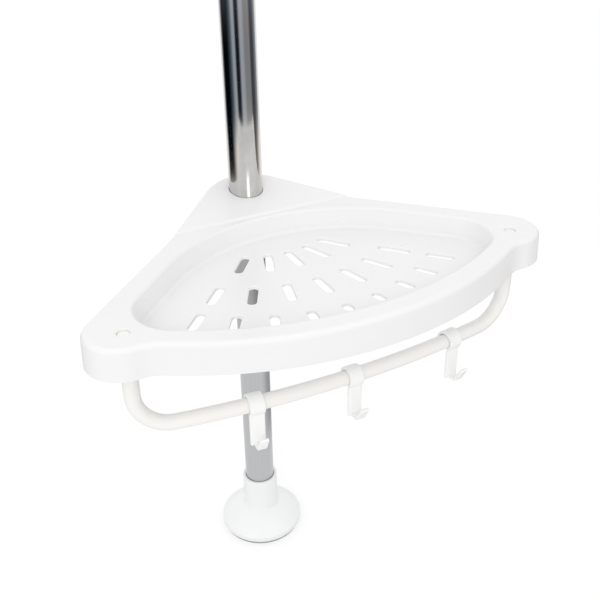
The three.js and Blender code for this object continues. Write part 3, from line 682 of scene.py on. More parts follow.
tray = tray_block("tray_moulding", inset=0, roof=0, floor_level=skirt_bottom, steps=10)
print("Tray block:", len(tray.data.vertices), "corners")

# %% [markdown]
# ## The tray: basin and underside
# The basin has a bowed back, a front that follows the rim, and round ends. Its wall leans, with a soft
# lip above and a fillet below. The same outline, drawn out by the wall's thickness, shapes the underside,
# because a moulding has an even wall: thick places would sink as the plastic cools.

# %% Basin
basin_wall_margin = 14.0
basin_front_margin = 13.0
basin_back_radius = 126.0
basin_back_steps = 60
basin_end_radius = 30.0
basin_depth = 14.0
basin_lip = 2.4
basin_wall_run = 3.0
basin_fillet = 3.4
basin_floor = rim_height - basin_depth


def basin_outline(inset):
    wall = (wall_distance - basin_wall_margin) * root2
    front_radius = front_arc_radius - basin_front_margin
    lean = wall - basin_end_radius * root2
    half = (lean - front_setback) / 2
    end_x = half + sqrt((front_radius - basin_end_radius)**2 / 2 - half**2)
    end_y = lean - end_x
    end_angle = atan2(end_y - front_setback, end_x)
    back_y = wall - basin_back_radius * root2
    end_radius = basin_end_radius - inset
    return [
        *arc(0, back_y, basin_back_radius - inset, quarter, 3 * quarter, basin_back_steps, True),
        *arc(-end_x, end_y, end_radius, 3 * quarter, pi - end_angle, ear_steps),
        *arc(0, front_setback, front_radius - inset, pi - end_angle, 2 * pi + end_angle, front_steps),
        *arc(end_x, end_y, end_radius, end_angle, quarter, ear_steps, True),
    ]


def basin_body(name, wall, steps):
    """The basin as a solid: the hollow itself, or with a wall added the shell round it."""
    rings = [ring(basin_outline(-wall), rim_height + overrun)]
    for draw, drop in reversed(rounded_edge(basin_lip, steps)):
        rings.append(ring(basin_outline(basin_lip - draw - wall), rim_height - drop - wall))
    for draw, drop in rounded_edge(basin_fillet, steps):
        inset = basin_lip + basin_wall_run + draw - wall
        rings.append(ring(basin_outline(inset), basin_floor - wall + drop))
    return loft(name, rings[::-1])


print("Basin floor is", basin_floor, "mm above the ground")

# %% [markdown]
# Under the tray the pole runs through a hub, held by three webs, and the rail's legs end in round
# sockets. They are taken out of the hollow, so they are left standing when the hollow is cut.

# %% Underside
hub_radius = 19.0
hub_drop = 1.2
hub_bottom = skirt_bottom - hub_drop
web_thickness = 2.0
rail_radius = 5.0
rail_leg_forward = 4.7
rail_leg_x = ear_x
rail_leg_y = ear_y - rail_leg_forward
socket_wall = 2.6
socket_radius = rail_radius + gap + socket_wall
socket_roof = 6.0
high_above = top_level(wall_distance * root2) + overrun


def web(length, direction):
    height = skirt_height - hub_drop
    middle = skirt_bottom + hub_drop + height / 2
    bar = block("web", (length, web_thickness, height), (length / 2, 0, middle))
    return placed(bar, 0, 0, 0, direction)


def hollow():
    body = tray_block("hollow", inset=tray_wall, roof=tray_wall, floor_level=skirt_bottom - overrun,
                      steps=3)
    cut(body, basin_body("basin_shell", tray_wall, steps=4))
    cut(body, post("hub", hub_radius, hub_bottom - overrun, high_above))
    for side in sides.values():
        socket = post("socket", socket_radius, skirt_bottom - 2 * overrun, rim_height)
        cut(body, placed(socket, side * rail_leg_x, rail_leg_y, 0))
        cut(body, web(wall_distance + overrun, pi / 2 - side * quarter))
    return cut(body, web(platform_front + basin_wall_run, -pi / 2))


cut(tray, hollow())
cut(tray, basin_body("basin", 0, steps=8))
joined(tray, post("hub", hub_radius, hub_bottom, rim_height - platform_step))
print("Hollowed tray:", len(tray.data.vertices), "corners")

# %% [markdown]
# ## The tray: a fan of drain slots
# The slots stand in three rows that fan out from the pole, each one pointing away from a spot in front of
# it. That is a rule, so Geometry Nodes places them: a row of points becomes a fan by a formula on each
# point's number, a short slot-shaped cutter is set on each, and its two round ends are pushed apart to
# that slot's own length.

# %% Slot cutter
slot_width = 6.2
slot_lip = 0.8
rib_depth = 2.6
end_steps = 12


def slot_section(width, half_straight):
    upper = arc(0, half_straight, width / 2, 0, pi, end_steps, True)
    lower = arc(0, -half_straight, width / 2, pi, 2 * pi, end_steps, True)
    return upper + lower


def slot_cutter():
    half = slot_width / 2
    rings = [ring(slot_section(slot_width, half), basin_floor - tray_wall - rib_depth - overrun)]
    for draw, drop in rounded_edge(slot_lip, 5):
        rings.append(ring(slot_section(slot_width + 2 * draw, half), basin_floor - drop))
    rings.append(ring(slot_section(slot_width + 2 * slot_lip, half), basin_floor + overrun))
    return loft("slot_cutter", rings)


def remembered(tree, geometry, name, value):
    return node(tree, "GeometryNodeStoreNamedAttribute",
                {"Geometry": geometry, "Name": name, "Value": value}, data_type="FLOAT", domain="POINT")


def recalled(tree, name):
    return node(tree, "GeometryNodeInputNamedAttribute", {"Name": name}, data_type="FLOAT")


def slot_fan_recipe():
    tree, (count, step, reach, short, long, width, setback, growth, cutter) = recipe(
        "slot fan", "Slot count", "Step", "Reach", "Short", "Long", "Width", "Setback", "Growth",
        "Cutter shape")
    middle = (count - 1.0) / 2.0
    place = place_in_row(tree) - middle
    length = short + (long - short) * (abs(place) / middle) ** growth
    x = reach * (place * step).sine()
    forward = reach * (place * step).cosine()
    row = row_of_points(tree, count, vector(tree, x, forward * -1.0, 0.0))
    row = remembered(tree, row, "heading", x.heading(forward - setback))
    row = remembered(tree, row, "stretch", length / 2.0 - width)
    shape = node(tree, "GeometryNodeObjectInfo", {"Object": cutter}, output="Geometry")
    here = parts(tree, node(tree, "GeometryNodeInputPosition"))
    shape = remembered(tree, shape, "end", here[1].sign())
    heading = recalled(tree, "heading")
    fan = node(tree, "GeometryNodeInstanceOnPoints",
               {"Points": row, "Instance": shape, "Rotation": vector(tree, 0.0, 0.0, heading)})
    fan = node(tree, "GeometryNodeRealizeInstances", {"Geometry": fan})
    push = recalled(tree, "stretch") * recalled(tree, "end")
    shift = vector(tree, push * heading.sine() * -1.0, push * heading.cosine(), 0.0)
    fan = node(tree, "GeometryNodeSetPosition", {"Geometry": fan, "Offset": shift})
    return serve(tree, fan, finishes["tray_white"])


slot_setback = 26.0
slot_growth = 1.3
slot_rows = [
    {"count": 5, "step": 13.3, "Reach": 79.0, "Short": 24.5, "Long": 24.5},
    {"count": 7, "step": 11.2, "Reach": 121.0, "Short": 23.0, "Long": 23.0},
    {"count": 9, "step": 8.9, "Reach": 153.0, "Short": 9.5, "Long": 20.0},
]
slot_fan = slot_fan_recipe()
cutter_shape = slot_cutter()
print("Slots to cut:", sum(row["count"] for row in slot_rows))

# %% [markdown]
# Two thin ribs follow the gaps between the rows, under the floor, where they stiffen what the slots
# weaken. They are rings round the pole's axis, trimmed to the basin. The slots, the pole's tapered pocket
# and the rail's sockets are cut last.

# %% Cut the tray
rib_thickness = 1.6
rib_steps = 256
sleeve_bottom, sleeve_top = ends("sleeve_left")
sleeve_top_wall = 2.0
sleeve_bottom_wall = 3.4
plug_hole_radius = 4.0
plug_hole_lip = 0.5


def ring_rib(reach):
    outer, inner = reach + rib_thickness / 2, reach - rib_thickness / 2
    bottom, top = basin_floor - tray_wall - rib_depth, basin_floor - tray_wall / 2
    rib = turned("ring_rib", [(inner, bottom), (outer, bottom), (outer, top), (inner, top)], rib_steps)
    limits = [ring(basin_outline(basin_lip), level) for level in (bottom - overrun, top + gap)]
    return trimmed(rib, loft("rib_limits", limits))


def slots(row):
    lengths = {name: row[name] for name in ("Reach", "Short", "Long")}
    lengths.update({"Width": slot_width, "Setback": slot_setback})
    return grown("slots", slot_fan, lengths, {"Slot count": row["count"], "Step": radians(row["step"]),
                                              "Growth": slot_growth, "Cutter shape": cutter_shape})


def hub_pocket():
    wide, narrow = [tube_radius + gap + wall + gap for wall in (sleeve_bottom_wall, sleeve_top_wall)]
    roof, hole = sleeve_top + gap, tube_radius + gap
    return turned("hub_pocket", [
        (0, hub_bottom - overrun), (wide, hub_bottom - overrun), (wide, hub_bottom), (narrow, roof),
        (hole, roof), (hole, high_above), (0, high_above)])


def rail_socket():
    bore, roof = rail_radius + gap, rim_height - socket_roof
    flare = [(plug_hole_radius + draw, rim_height - drop) for draw, drop in rounded_edge(plug_hole_lip, 4)]
    wide = plug_hole_radius + plug_hole_lip
    return turned("rail_socket", [(0, skirt_bottom - overrun), (bore, skirt_bottom - overrun), (bore, roof),
                                  (plug_hole_radius, roof), *flare, (wide, rim_height + overrun),
                                  (0, rim_height + overrun)], steps=64)


for near, far in zip(slot_rows, slot_rows[1:]):
    joined(tray, ring_rib((near["Reach"] + near["Long"] / 2 + far["Reach"] - far["Long"] / 2) / 2))
for row in slot_rows:
    cut(tray, slots(row))
bpy.data.objects.remove(cutter_shape)
cut(tray, hub_pocket())
for side in sides.values():
    cut(tray, placed(rail_socket(), side * rail_leg_x, rail_leg_y, 0))
finished(tray, "tray")

# %% [markdown]
# ## The towel rail
# The rail is one tube: up out of each lobe's socket, round a bend, and along a gentle arc that follows
# the tray's front. Its axis is a formula of the distance along it, so Geometry Nodes makes it from a row
# of points: first the arc, then a quarter turn of the bend, then the straight leg. A thinner tube grown
# by the same recipe hollows it.

# %% Towel rail
rail_arc_radius = 671.0
rail_bend = 24.0
rail_drop = 69.0
rail_points, rail_sides = 320, 48
rail_axis = rim_height - rail_drop
rail_top = ends("towel_rail")[1]
rail_centre_y = rail_leg_y + sqrt(rail_arc_radius**2 - rail_leg_x**2)
rail_run = asin(rail_leg_x / rail_arc_radius) * rail_arc_radius - rail_bend
rail_leg = rail_top - rail_axis - rail_bend


def rail_recipe():
    tree, (count, tube, arc_radius, centre, axis, bend, run, leg) = recipe(
        "towel rail", "Point count", "Tube radius", "Arc radius", "Arc centre", "Axis height", "Bend",
        "Run", "Leg")
    quarter_turn = bend * (pi / 2)
    along = (place_in_row(tree) / (count - 1.0) * 2.0 - 1.0) * (run + quarter_turn + leg)
    reach = abs(along)
    angle = ((reach - run) / bend).at_least(0.0).at_most(pi / 2)
    travel = (reach.at_most(run) + bend * angle.sine()) * along.sign()
    rise = bend - bend * angle.cosine() + (reach - run - quarter_turn).at_least(0.0)
    turn = travel / arc_radius
    spot = vector(tree, arc_radius * turn.sine(), centre - arc_radius * turn.cosine(), axis + rise)
    row = row_of_points(tree, count, spot)
    return serve(tree, tube_along(tree, row, tube, rail_sides), finishes["rail_cream"])


rail_tree = rail_recipe()


def rail_tube(name, radius, leg):
    lengths = {"Arc radius": rail_arc_radius, "Arc centre": rail_centre_y, "Axis height": rail_axis,
               "Bend": rail_bend, "Run": rail_run, "Tube radius": radius, "Leg": leg}
    return grown(name, rail_tree, lengths, {"Point count": rail_points})


rail = rail_tube("towel_rail_tube", rail_radius, rail_leg)
cut(rail, rail_tube("rail_bore", rail_radius - tube_wall, rail_leg + overrun))
finished(rail, "towel_rail")

# %% [markdown]
# A plug closes each end of the tube. Its top shows as a small disc, a little below the surface of the
# lobe.

# %% Rail plugs
plug_head_gap = 0.05
plug_edge = 0.2


def rail_plug(name, side):
    bottom, top = ends("rail_plug_left")
    stem = rail_radius - tube_wall - gap
    head = plug_hole_radius - plug_head_gap
    neck = rail_top + gap
    plug = turned(name, [(0, bottom), (stem - gap, bottom, plug_edge), (stem, bottom + 2 * gap, plug_edge),
                         (stem, neck), (head, neck), (head, top, burr_edge), (0, top)], steps=coarse_steps)
    return placed(plug, side * rail_leg_x, rail_leg_y, 0)


for name, side in sides.items():
    finished(rail_plug(f"end_plug_{name}", side), f"rail_plug_{name}")

# %% [markdown]
# ## The hooks
# Each hook is one small moulding: a springy clip that snaps over the rail, a flat strip hanging from its
# front, and a narrower tongue that turns outward and up. The clip and strip share one outline of arcs and
# straight lines, and the tongue is a strap of even thickness bent round a corner. Both are pushed out to
# their widths and softened.

# %% Hook shapes
hook_width = 10.0
hook_thickness = 2.4
hook_front = 4.6
hook_drop = 29.2
hook_reach = 17.8
lip_foot = 11.0
lip_height = 13.0
clip_wall = 2.0
clip_bore = rail_radius + gap
clip_outer = clip_bore + clip_wall
clip_end = radians(215)
tongue_width = 6.0
tip_back, tip_down = 1.6, 1.4
tongue_tip = Vector((hook_reach - tip_back, lip_height - hook_drop - tip_down))
tongue_lean = atan2(lip_height, hook_reach - lip_foot)
tongue_bend = 4.0
clip_outer_steps, clip_inner_steps, clip_end_steps, tip_steps, bend_steps = 64, 56, 8, 10, 8
hook_angles = {"left": -5.47, "middle": 0.42, "right": 7.41}


def plate(name, outline, width):
    """An outline in outward and upward directions, pushed out to both sides of the hook's middle."""
    corners = [(side * width / 2, -p.x, p.y) for side in (-1, 1) for p in outline]
    rows = [row_numbers(row, len(outline)) for row in (0, 1)]
    return piece_from(name, corners, [*rows, *faces_between(*rows)])


def clip_outline():
    back = hook_front - hook_thickness
    start_outer = -acos(hook_front / clip_outer)
    start_inner = -acos(back / clip_bore)
    middle = (clip_outer + clip_bore) / 2
    return [
        *arc(0, 0, clip_outer, start_outer, clip_end, clip_outer_steps),
        *arc(middle * cos(clip_end), middle * sin(clip_end), clip_wall / 2, clip_end, clip_end + pi,
             clip_end_steps),
        *arc(0, 0, clip_bore, clip_end, start_inner, clip_inner_steps, True),
        Vector((back, -hook_drop)),
        Vector((hook_front, -hook_drop)),
    ]


def strap_outline(path, thickness):
    """Both sides of a bent strap with a round far end."""
    steps = [(b - a).normalized() for a, b in zip(path, path[1:])]
    ways = [steps[0]] + [(a + b).normalized() for a, b in zip(steps, steps[1:])] + [steps[-1]]
    across = [Vector((-way.y, way.x)) * thickness / 2 for way in ways]
    tip = atan2(steps[-1].y, steps[-1].x)
    end = arc(path[-1].x, path[-1].y, thickness / 2, tip - pi / 2, tip + pi / 2, tip_steps)
    near = [p - s for p, s in zip(path[:-1], across)]
    far = [p + s for p, s in zip(path, across)]
    return near + end + far[::-1]


def hook(name):
    body = softened(plate(name, clip_outline(), hook_width), soft_edge)
    base = hook_thickness / 2 - hook_drop
    corner_x = tongue_tip.x - (tongue_tip.y - base) / tan(tongue_lean)
    start_x = hook_front - hook_thickness / 2
    corners = [(start_x, base), (corner_x, base, tongue_bend), (tongue_tip.x, tongue_tip.y)]
    path = eased(corners, bend_steps)
    tongue = softened(plate("tongue", strap_outline(path, hook_thickness), tongue_width), soft_edge)
    return joined(body, tongue)


for name, turn in hook_angles.items():
    angle = radians(turn)
    x, y = rail_arc_radius * sin(angle), rail_centre_y - rail_arc_radius * cos(angle)
    finished(placed(hook(f"clip_hook_{name}"), x, y, rail_axis, angle), f"hook_{name}")

# %% [markdown]
# ## The sleeve
# The tray's hub is tapered inside and slides down over a split sleeve, so the load on the tray wedges it
# tighter on the pole. The two halves are a turned cone with a saw cut left open between them.

# %% Split sleeve
sleeve_flange = 19.0
sleeve_flange_height = 3.0
sleeve_flange_edge = 0.6
sleeve_slit = 1.0


def sleeve_half(name, side):
    inner = tube_radius + gap
    flange_top = sleeve_bottom + sleeve_flange_height
    cone = turned(name, [
        (inner, sleeve_bottom, burr_edge), (sleeve_flange, sleeve_bottom, sleeve_flange_edge),
        (sleeve_flange, flange_top, sleeve_flange_edge),
        (inner + sleeve_bottom_wall, flange_top, crisp_edge),
        (inner + sleeve_top_wall, sleeve_top, crisp_edge), (inner, sleeve_top, burr_edge)])
    reach = sleeve_flange + overrun
    size = (reach, 2 * reach, sleeve_top - sleeve_bottom + 2 * overrun)
    centre = (side * (reach + sleeve_slit) / 2, 0, (sleeve_top + sleeve_bottom) / 2)
    return trimmed(cone, block("half", size, centre))


for name, side in sides.items():
    finished(sleeve_half(f"wedge_{name}", side), f"sleeve_{name}")

# %% [markdown]
# ## The pole
# Two tubes slide in each other and a thinner rod springs out of the top. All are plain drawn tube, cut
# square with the burr taken off, so a turned ring with a tiny radius at each corner describes them.

# %% Tubes
tube_edge = 0.25


def tube(name, node_name):
    outer, (bottom, top) = widest(node_name), ends(node_name)
    section = [(outer - tube_wall, bottom), (outer, bottom), (outer, top), (outer - tube_wall, top)]
    return turned(name, [(*corner, tube_edge) for corner in section], steps=fine_steps)


tubes = {"pole_lower": "lower_tube", "pole_upper": "upper_tube", "pole_head_rod": "head_rod"}
for name, node_name in tubes.items():
    finished(tube(name, node_name), node_name)

# %% [markdown]
# ## Foot and ceiling cup
# Both ends are domed shells with a collar for the tube, closed by a soft pad, and the foot is stiffened
# by ribs under its dome. The dome is part of a ball, so its section is an arc between the rim and the
# collar.

# %% Domed cups
collar_fillet = 2.2
socket_edge = 0.15
outside_steps, inside_steps, limit_steps = 28, 16, 20


def dome(rim, collar, ball, centre, steps):
    return [(p.x, p.y) for p in arc(0, centre, ball, acos(rim / ball), acos(collar / ball), steps, True)]


def domed_cup(name, rim, ball, edge, collar, shell, socket, socket_floor, height):
    centre = edge - sqrt(ball**2 - rim**2)
    outside = dome(rim, collar, ball, centre, outside_steps)
    inside = dome(rim - shell, collar, ball - shell, centre, inside_steps)[::-1]
    return turned(name, [
        (0, 0), (collar, 0), *inside, (rim - shell, 0), (rim, 0, round_edge), *outside[:-1],
        (*outside[-1], collar_fillet), (collar, height, round_edge), (socket, height, socket_edge),
        (socket, socket_floor), (0, socket_floor)], steps=fine_steps)


def rib_recipe():
    tree, (count, reach, length, thickness, height, middle) = recipe(
        "foot ribs", "Rib count", "Reach", "Length", "Thickness", "Height", "Middle")
    row, angle = round_the_axis(tree, count, reach, middle)
    rib = node(tree, "GeometryNodeMeshCube", {"Size": vector(tree, length, thickness, height)})
    ribs = node(tree, "GeometryNodeInstanceOnPoints",
                {"Points": row, "Instance": rib, "Rotation": vector(tree, 0.0, 0.0, angle)})
    return serve(tree, ribs, finishes["fitting_white"])


foot_rim, foot_ball, foot_edge, foot_shell = widest("foot_cup"), 48.0, 4.6, 3.0
foot_socket_floor = 12.0
foot_collar_wall = 2.4
foot_collar = tube_radius + gap + foot_collar_wall
foot_bottom, foot_top = ends("foot_cup")
foot_rib_count, foot_rib_thickness, foot_rib_overlap = 8, 1.8, 1.2
cup_ball, cup_edge, cup_shell = 47.0, 4.0, 3.0
cup_socket_depth = 30.0
cup_collar_wall = 2.6
cup_collar = rod_radius + gap + cup_collar_wall
pad_spigot = 3.0
print("Foot:", round(foot_rim, 1), "mm radius,", round(foot_top - foot_bottom, 1), "mm high")

# %% [markdown]
# The ribs are grown as plain bars, trimmed to a solid just inside the dome, and joined to the shell.

# %% Foot and cup
def foot_ribs():
    half = foot_shell / 2
    centre = foot_edge - sqrt(foot_ball**2 - foot_rim**2)
    collar_top = centre + sqrt(foot_ball**2 - foot_collar**2)
    bottom = pad_spigot + gap
    height = collar_top - bottom
    length = foot_rim - foot_collar
    ribs = grown("ribs", rib_recipe(), {
        "Reach": foot_collar - foot_rib_overlap + length / 2, "Length": length,
        "Thickness": foot_rib_thickness, "Height": height, "Middle": bottom + height / 2},
        {"Rib count": foot_rib_count})
    within = dome(foot_rim - half, foot_collar - half, foot_ball - half, centre, limit_steps)
    return trimmed(ribs, turned("rib_limits", [(0, 0), (foot_rim - half, 0), *within, (0, within[-1][1])]))


def foot_cup():
    cup = domed_cup("foot_dome", foot_rim, foot_ball, foot_edge, foot_collar, foot_shell,
                    socket=tube_radius + gap, socket_floor=foot_socket_floor - foot_bottom,
                    height=foot_top - foot_bottom)
    return placed(joined(cup, foot_ribs()), 0, 0, foot_bottom)


def ceiling_cup():
    bottom, top = ends("ceiling_cup")
    cup = domed_cup("ceiling_dome", widest("ceiling_cup"), cup_ball, cup_edge, cup_collar, cup_shell,
                    socket=rod_radius + gap, socket_floor=top - bottom - cup_socket_depth,
                    height=top - bottom)
    return hung(cup, top)


for make in (foot_cup, ceiling_cup):
    finished(make(), make.__name__)

# %% [markdown]
# Each pad is a disc with a raised ring that holds it inside its cup.

# %% Pads
pad_inset = 1.5
pad_thickness = 3.0


def pad(name, cup_radius, shell, collar):
    outer = cup_radius - pad_inset
    ring_outer = cup_radius - shell - gap
    ring_inner = (cup_radius + collar) / 2
    ring_top = pad_thickness + pad_spigot
    return turned(name, [
        (0, 0), (outer, 0, round_edge), (outer, pad_thickness, soft_edge), (ring_outer, pad_thickness),
        (ring_outer, ring_top, crisp_edge), (ring_inner, ring_top, crisp_edge), (ring_inner, pad_thickness),
        (0, pad_thickness)], steps=fine_steps)


def foot_pad():
    return pad("floor_pad", foot_rim, foot_shell, foot_collar)


def ceiling_pad():
    return hung(pad("top_pad", widest("ceiling_cup"), cup_shell, cup_collar), ends("ceiling_pad")[1])


for make in (foot_pad, ceiling_pad):
    finished(make(), make.__name__)

# %% [markdown]
# ## The twist lock
# Turning the fluted nut draws its tapered mouth over a split ring, which grips the upper tube. The flutes
# repeat round the nut, so a recipe sets a round cutter at each of them.

# %% Lock
nut_bottom, nut_top = ends("lock_nut")
nut_radius = 18.0
nut_roof = 3.0
nut_foot_edge, nut_top_edge = 1.2, 1.6
nut_steps = 144
flute_count, flute_radius, flute_sides = 12, 2.2, 32
base_wall = 1.7
base_outer = tube_radius + gap + base_wall
base_flange, base_flange_height = 2.0, 4.0
grip_bottom, grip_top = ends("grip_ring")
grip_wall, grip_taper, grip_slit = 3.0, 1.6, 2.0
grip_inner = upper_radius + gap
grip_outer = grip_inner + grip_wall


def flute_recipe():
    tree, (count, reach, radius, height, middle) = recipe(
        "nut flutes", "Flute count", "Reach", "Radius", "Height", "Middle")
    row, angle = round_the_axis(tree, count, reach, middle)
    cutter = node(tree, "GeometryNodeMeshCylinder",
                  {"Vertices": flute_sides, "Radius": radius, "Depth": height})
    flutes = node(tree, "GeometryNodeInstanceOnPoints", {"Points": row, "Instance": cutter})
    return serve(tree, flutes, finishes["fitting_white"])


def lock_nut():
    wide = grip_outer + gap
    inside = base_outer + gap
    roof, shoulder = nut_top - nut_roof, grip_bottom - gap / 2
    nut = turned("twist_nut", [
        (inside, nut_bottom), (nut_radius, nut_bottom, nut_foot_edge), (nut_radius, nut_top, nut_top_edge),
        (grip_inner, nut_top, crisp_edge), (grip_inner, roof), (wide - grip_taper, roof),
        (wide - grip_taper, grip_top), (wide, shoulder), (inside, shoulder)], steps=nut_steps)
    flutes = grown("flutes", flute_recipe(), {
        "Reach": nut_radius + flute_radius / 2, "Radius": flute_radius,
        "Height": nut_top - nut_bottom + 2 * overrun, "Middle": (nut_top + nut_bottom) / 2},
        {"Flute count": flute_count})
    return cut(nut, flutes)


def lock_base():
    bottom, top = ends("lock_base")
    inner, flange, flange_top = tube_radius + gap, base_outer + base_flange, bottom + base_flange_height
    return turned("twist_base", [
        (inner, bottom, burr_edge), (flange, bottom, round_edge), (flange, flange_top, round_edge),
        (base_outer, flange_top), (base_outer, top, crisp_edge), (inner, top, burr_edge)])


def grip_ring():
    body = turned("split_grip", [
        (grip_inner, grip_bottom), (grip_outer, grip_bottom, crisp_edge),
        (grip_outer - grip_taper, grip_top, crisp_edge), (grip_inner, grip_top)])
    length = grip_outer + overrun
    size = (length, grip_slit, grip_top - grip_bottom + 2 * overrun)
    return cut(body, block("slit", size, (length / 2, 0, (grip_top + grip_bottom) / 2)))


for make in (lock_nut, lock_base, grip_ring):
    finished(make(), make.__name__)

# %% [markdown]
# ## Inside the pole
# A bush guides the foot of the upper tube, a ring closes its mouth, and between them the spring stands on
# its seat and pushes the rod's plunger. They are plain turned parts.

# %% Bush, mouth ring, seat and plunger
upper_bore = upper_radius - tube_wall
in_bore = upper_bore - gap
flange_height = 6.0
bush_bore = 5.0
mouth_proud, mouth_rim, mouth_top_edge, mouth_bore_edge = 1.5, 4.0, 1.8, 0.6
wire_width, wire_side_gap = 1.8, 0.6
seat_pin, seat_pin_gap, seat_pin_taper = 6.0, 1.0, 3.0
plunger_edge = 0.6


def guide_bush():
    bottom, top = ends("guide_bush")
    flange, shoulder = tube_radius - tube_wall - gap, bottom + flange_height
    return turned("tube_guide", [
        (bush_bore, bottom, burr_edge), (flange, bottom, soft_edge), (flange, shoulder, soft_edge),
        (in_bore, shoulder), (in_bore, top, soft_edge), (bush_bore, top, burr_edge)])


def mouth_ring():
    bottom, top = ends("mouth_ring")
    bore, rim, seat = rod_radius + gap, upper_radius + mouth_proud, top - mouth_rim
    return turned("tube_mouth", [
        (bore, bottom, burr_edge), (in_bore, bottom, burr_edge), (in_bore, seat), (rim, seat, crisp_edge),
        (rim, top, mouth_top_edge), (bore, top, mouth_bore_edge)])


def spring_seat():
    bottom, top = ends("spring_seat")
    shoulder, pin = top - seat_pin, upper_bore - wire_side_gap - wire_width - seat_pin_gap
    return turned("spring_foot", [
        (0, bottom), (in_bore, bottom, crisp_edge), (in_bore, shoulder, crisp_edge), (pin, shoulder),
        (pin, top - seat_pin_taper, soft_edge), (pin / 2, top, round_edge), (0, top)])


def plunger():
    bottom, top = ends("plunger")
    shoulder, spigot = bottom + flange_height, rod_radius - tube_wall - gap
    return turned("rod_plunger", [
        (0, bottom), (in_bore, bottom, crisp_edge), (in_bore, shoulder, crisp_edge), (spigot, shoulder),
        (spigot, top, plunger_edge), (0, top)])


for make in (guide_bush, mouth_ring, spring_seat, plunger):
    finished(make(), make.__name__)

# %% [markdown]
# ## The spring
# A compression spring's end turns lie close together and are ground flat. Its height is a formula of the
# turn, so Geometry Nodes winds it from a row of points, and two flat cuts stand for the grinding. It
# shortens with the head.

# %% Tension spring
spring_turns = 9.0
spring_end_pitch = 2.6
spring_points, wire_sides = 400, 14
spring_bottom, spring_top = ends("tension_spring")
spring_height = spring_top - spring_bottom


def spring_recipe():
    tree, (count, radius, wire, turns, pitch, tall, bottom) = recipe(
        "tension spring", "Point count", "Radius", "Wire", "Turns", "End pitch", "Tall", "Bottom")
    turn = place_in_row(tree) / (count - 1.0) * turns
    close = turn.at_most(1.0) + (turn - turns + 1.0).at_least(0.0)
    wide = (turn - 1.0).at_least(0.0).at_most(turns - 2.0)
    open_pitch = (tall - wire / 2.0 - pitch * 2.0) / (turns - 2.0)
    height = bottom + wire / 4.0 + close * pitch + wide * open_pitch
    angle = turn * (2 * pi)
    row = row_of_points(tree, count, vector(tree, radius * angle.cosine(), radius * angle.sine(), height))
    return serve(tree, tube_along(tree, row, wire / 2.0, wire_sides), finishes["spring_steel"])


spring = grown("head_spring_coil", spring_recipe(), {
    "Radius": upper_bore - wire_side_gap - wire_width / 2, "Wire": wire_width,
    "End pitch": spring_end_pitch, "Tall": spring_height, "Bottom": spring_bottom},
    {"Point count": spring_points, "Turns": spring_turns})
trimmed(spring, post("ground_ends", upper_bore, spring_bottom, spring_top))
finished(spring, "tension_spring")
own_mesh(spring)

# %% [markdown]
# ## Floor, world and lamp
# The picture is a pale object on white, so its shape shows only by small steps of tone. A bright even sky
# gives the base, a soft lamp in front on the left gives those steps, low enough to reach under the tray,
# and a light grey floor sends some light back up. What the camera and the reflections see of the
# surroundings is white all the same.

# %% World and floor
white = (1, 1, 1, 1)
sky_level = 1.0
floor_reach = 8.0
floor_grey = (0.75, 0.75, 0.75, 1)
floor_roughness = 0.9
floor_shadow_share = 0.45
floor_glow = 1.22


def seeing_rays(tree):
    """1 for a ray of the camera, a reflection or a look through glass, 0 for one that carries light."""
    outputs = node(tree, "ShaderNodeLightPath").socket.node.outputs
    seeing = Value(tree, outputs["Is Camera Ray"])
    for kind in ("Is Glossy Ray", "Is Transmission Ray"):
        seeing = seeing.at_least(Value(tree, outputs[kind]))
    return seeing


def glow(tree, colour, strength):
    return node(tree, "ShaderNodeEmission", {"Color": colour, "Strength": strength})


def surface(tree, shader):
    tree.links.new(shader.socket, tree.nodes["Material Output"].inputs["Surface"])


def mixed_shader(tree, share, first, second):
    return node(tree, "ShaderNodeMixShader", {0: share, 1: first, 2: second})


def white_surroundings():
    world = bpy.data.worlds.new("studio")
    bpy.context.scene.world = world
    world.use_nodes = True
    tree = world.node_tree
    backdrop = tree.nodes["Background"]
    tree.links.new(between(tree, seeing_rays(tree), sky_level, 1.0).socket, backdrop.inputs["Strength"])
    backdrop.inputs["Color"].default_value = white


def white_floor():
    size = floor_reach / MM
    floor = piece_from("floor", [(-size, -size, 0), (size, -size, 0), (size, size, 0), (-size, size, 0)],
                       [(0, 1, 2, 3)])
    material, tree, shader, _ = blank_material("floor_white")
    shader.inputs["Base Color"].default_value = floor_grey
    shader.inputs["Roughness"].default_value = floor_roughness
    shader.inputs["Specular IOR Level"].default_value = 0.0
    share = seeing_rays(tree) * (1 - floor_shadow_share)
    surface(tree, mixed_shader(tree, share, Value(tree, shader.outputs[0]), glow(tree, white, floor_glow)))
    floor.data.materials.append(material)


white_surroundings()
white_floor()
bpy.context.scene.view_settings.view_transform = "Standard"
print("Sky level", sky_level)

# %% [markdown]
# A lamp is aimed by turning its local -Z axis towards a point. A big lamp close by gives soft edges to
# the shadows. Seen from behind the tray it would be mirrored in the basin and wash out the slots, so
# reflections leave it out.

# %% Lamp
lamp_place = (-1.25, -1.75, 1.3)
lamp_target = (0, -0.1, 0.32)
lamp_size = 0.9
lamp_power = 9.5


def soft_lamp(name):
    data = bpy.data.lights.new(name, "AREA")
    data.shape = "DISK"
    data.size = lamp_size
    data.energy = lamp_power
    lamp = in_scene(name, data)
    way = (Vector(lamp_target) - Vector(lamp_place)).to_track_quat("-Z", "Y")
    lamp.matrix_world = Matrix.Translation(lamp_place) @ way.to_matrix().to_4x4()
    lamp.visible_glossy = False
    return lamp


print("Lamp:", soft_lamp("key_lamp").name)
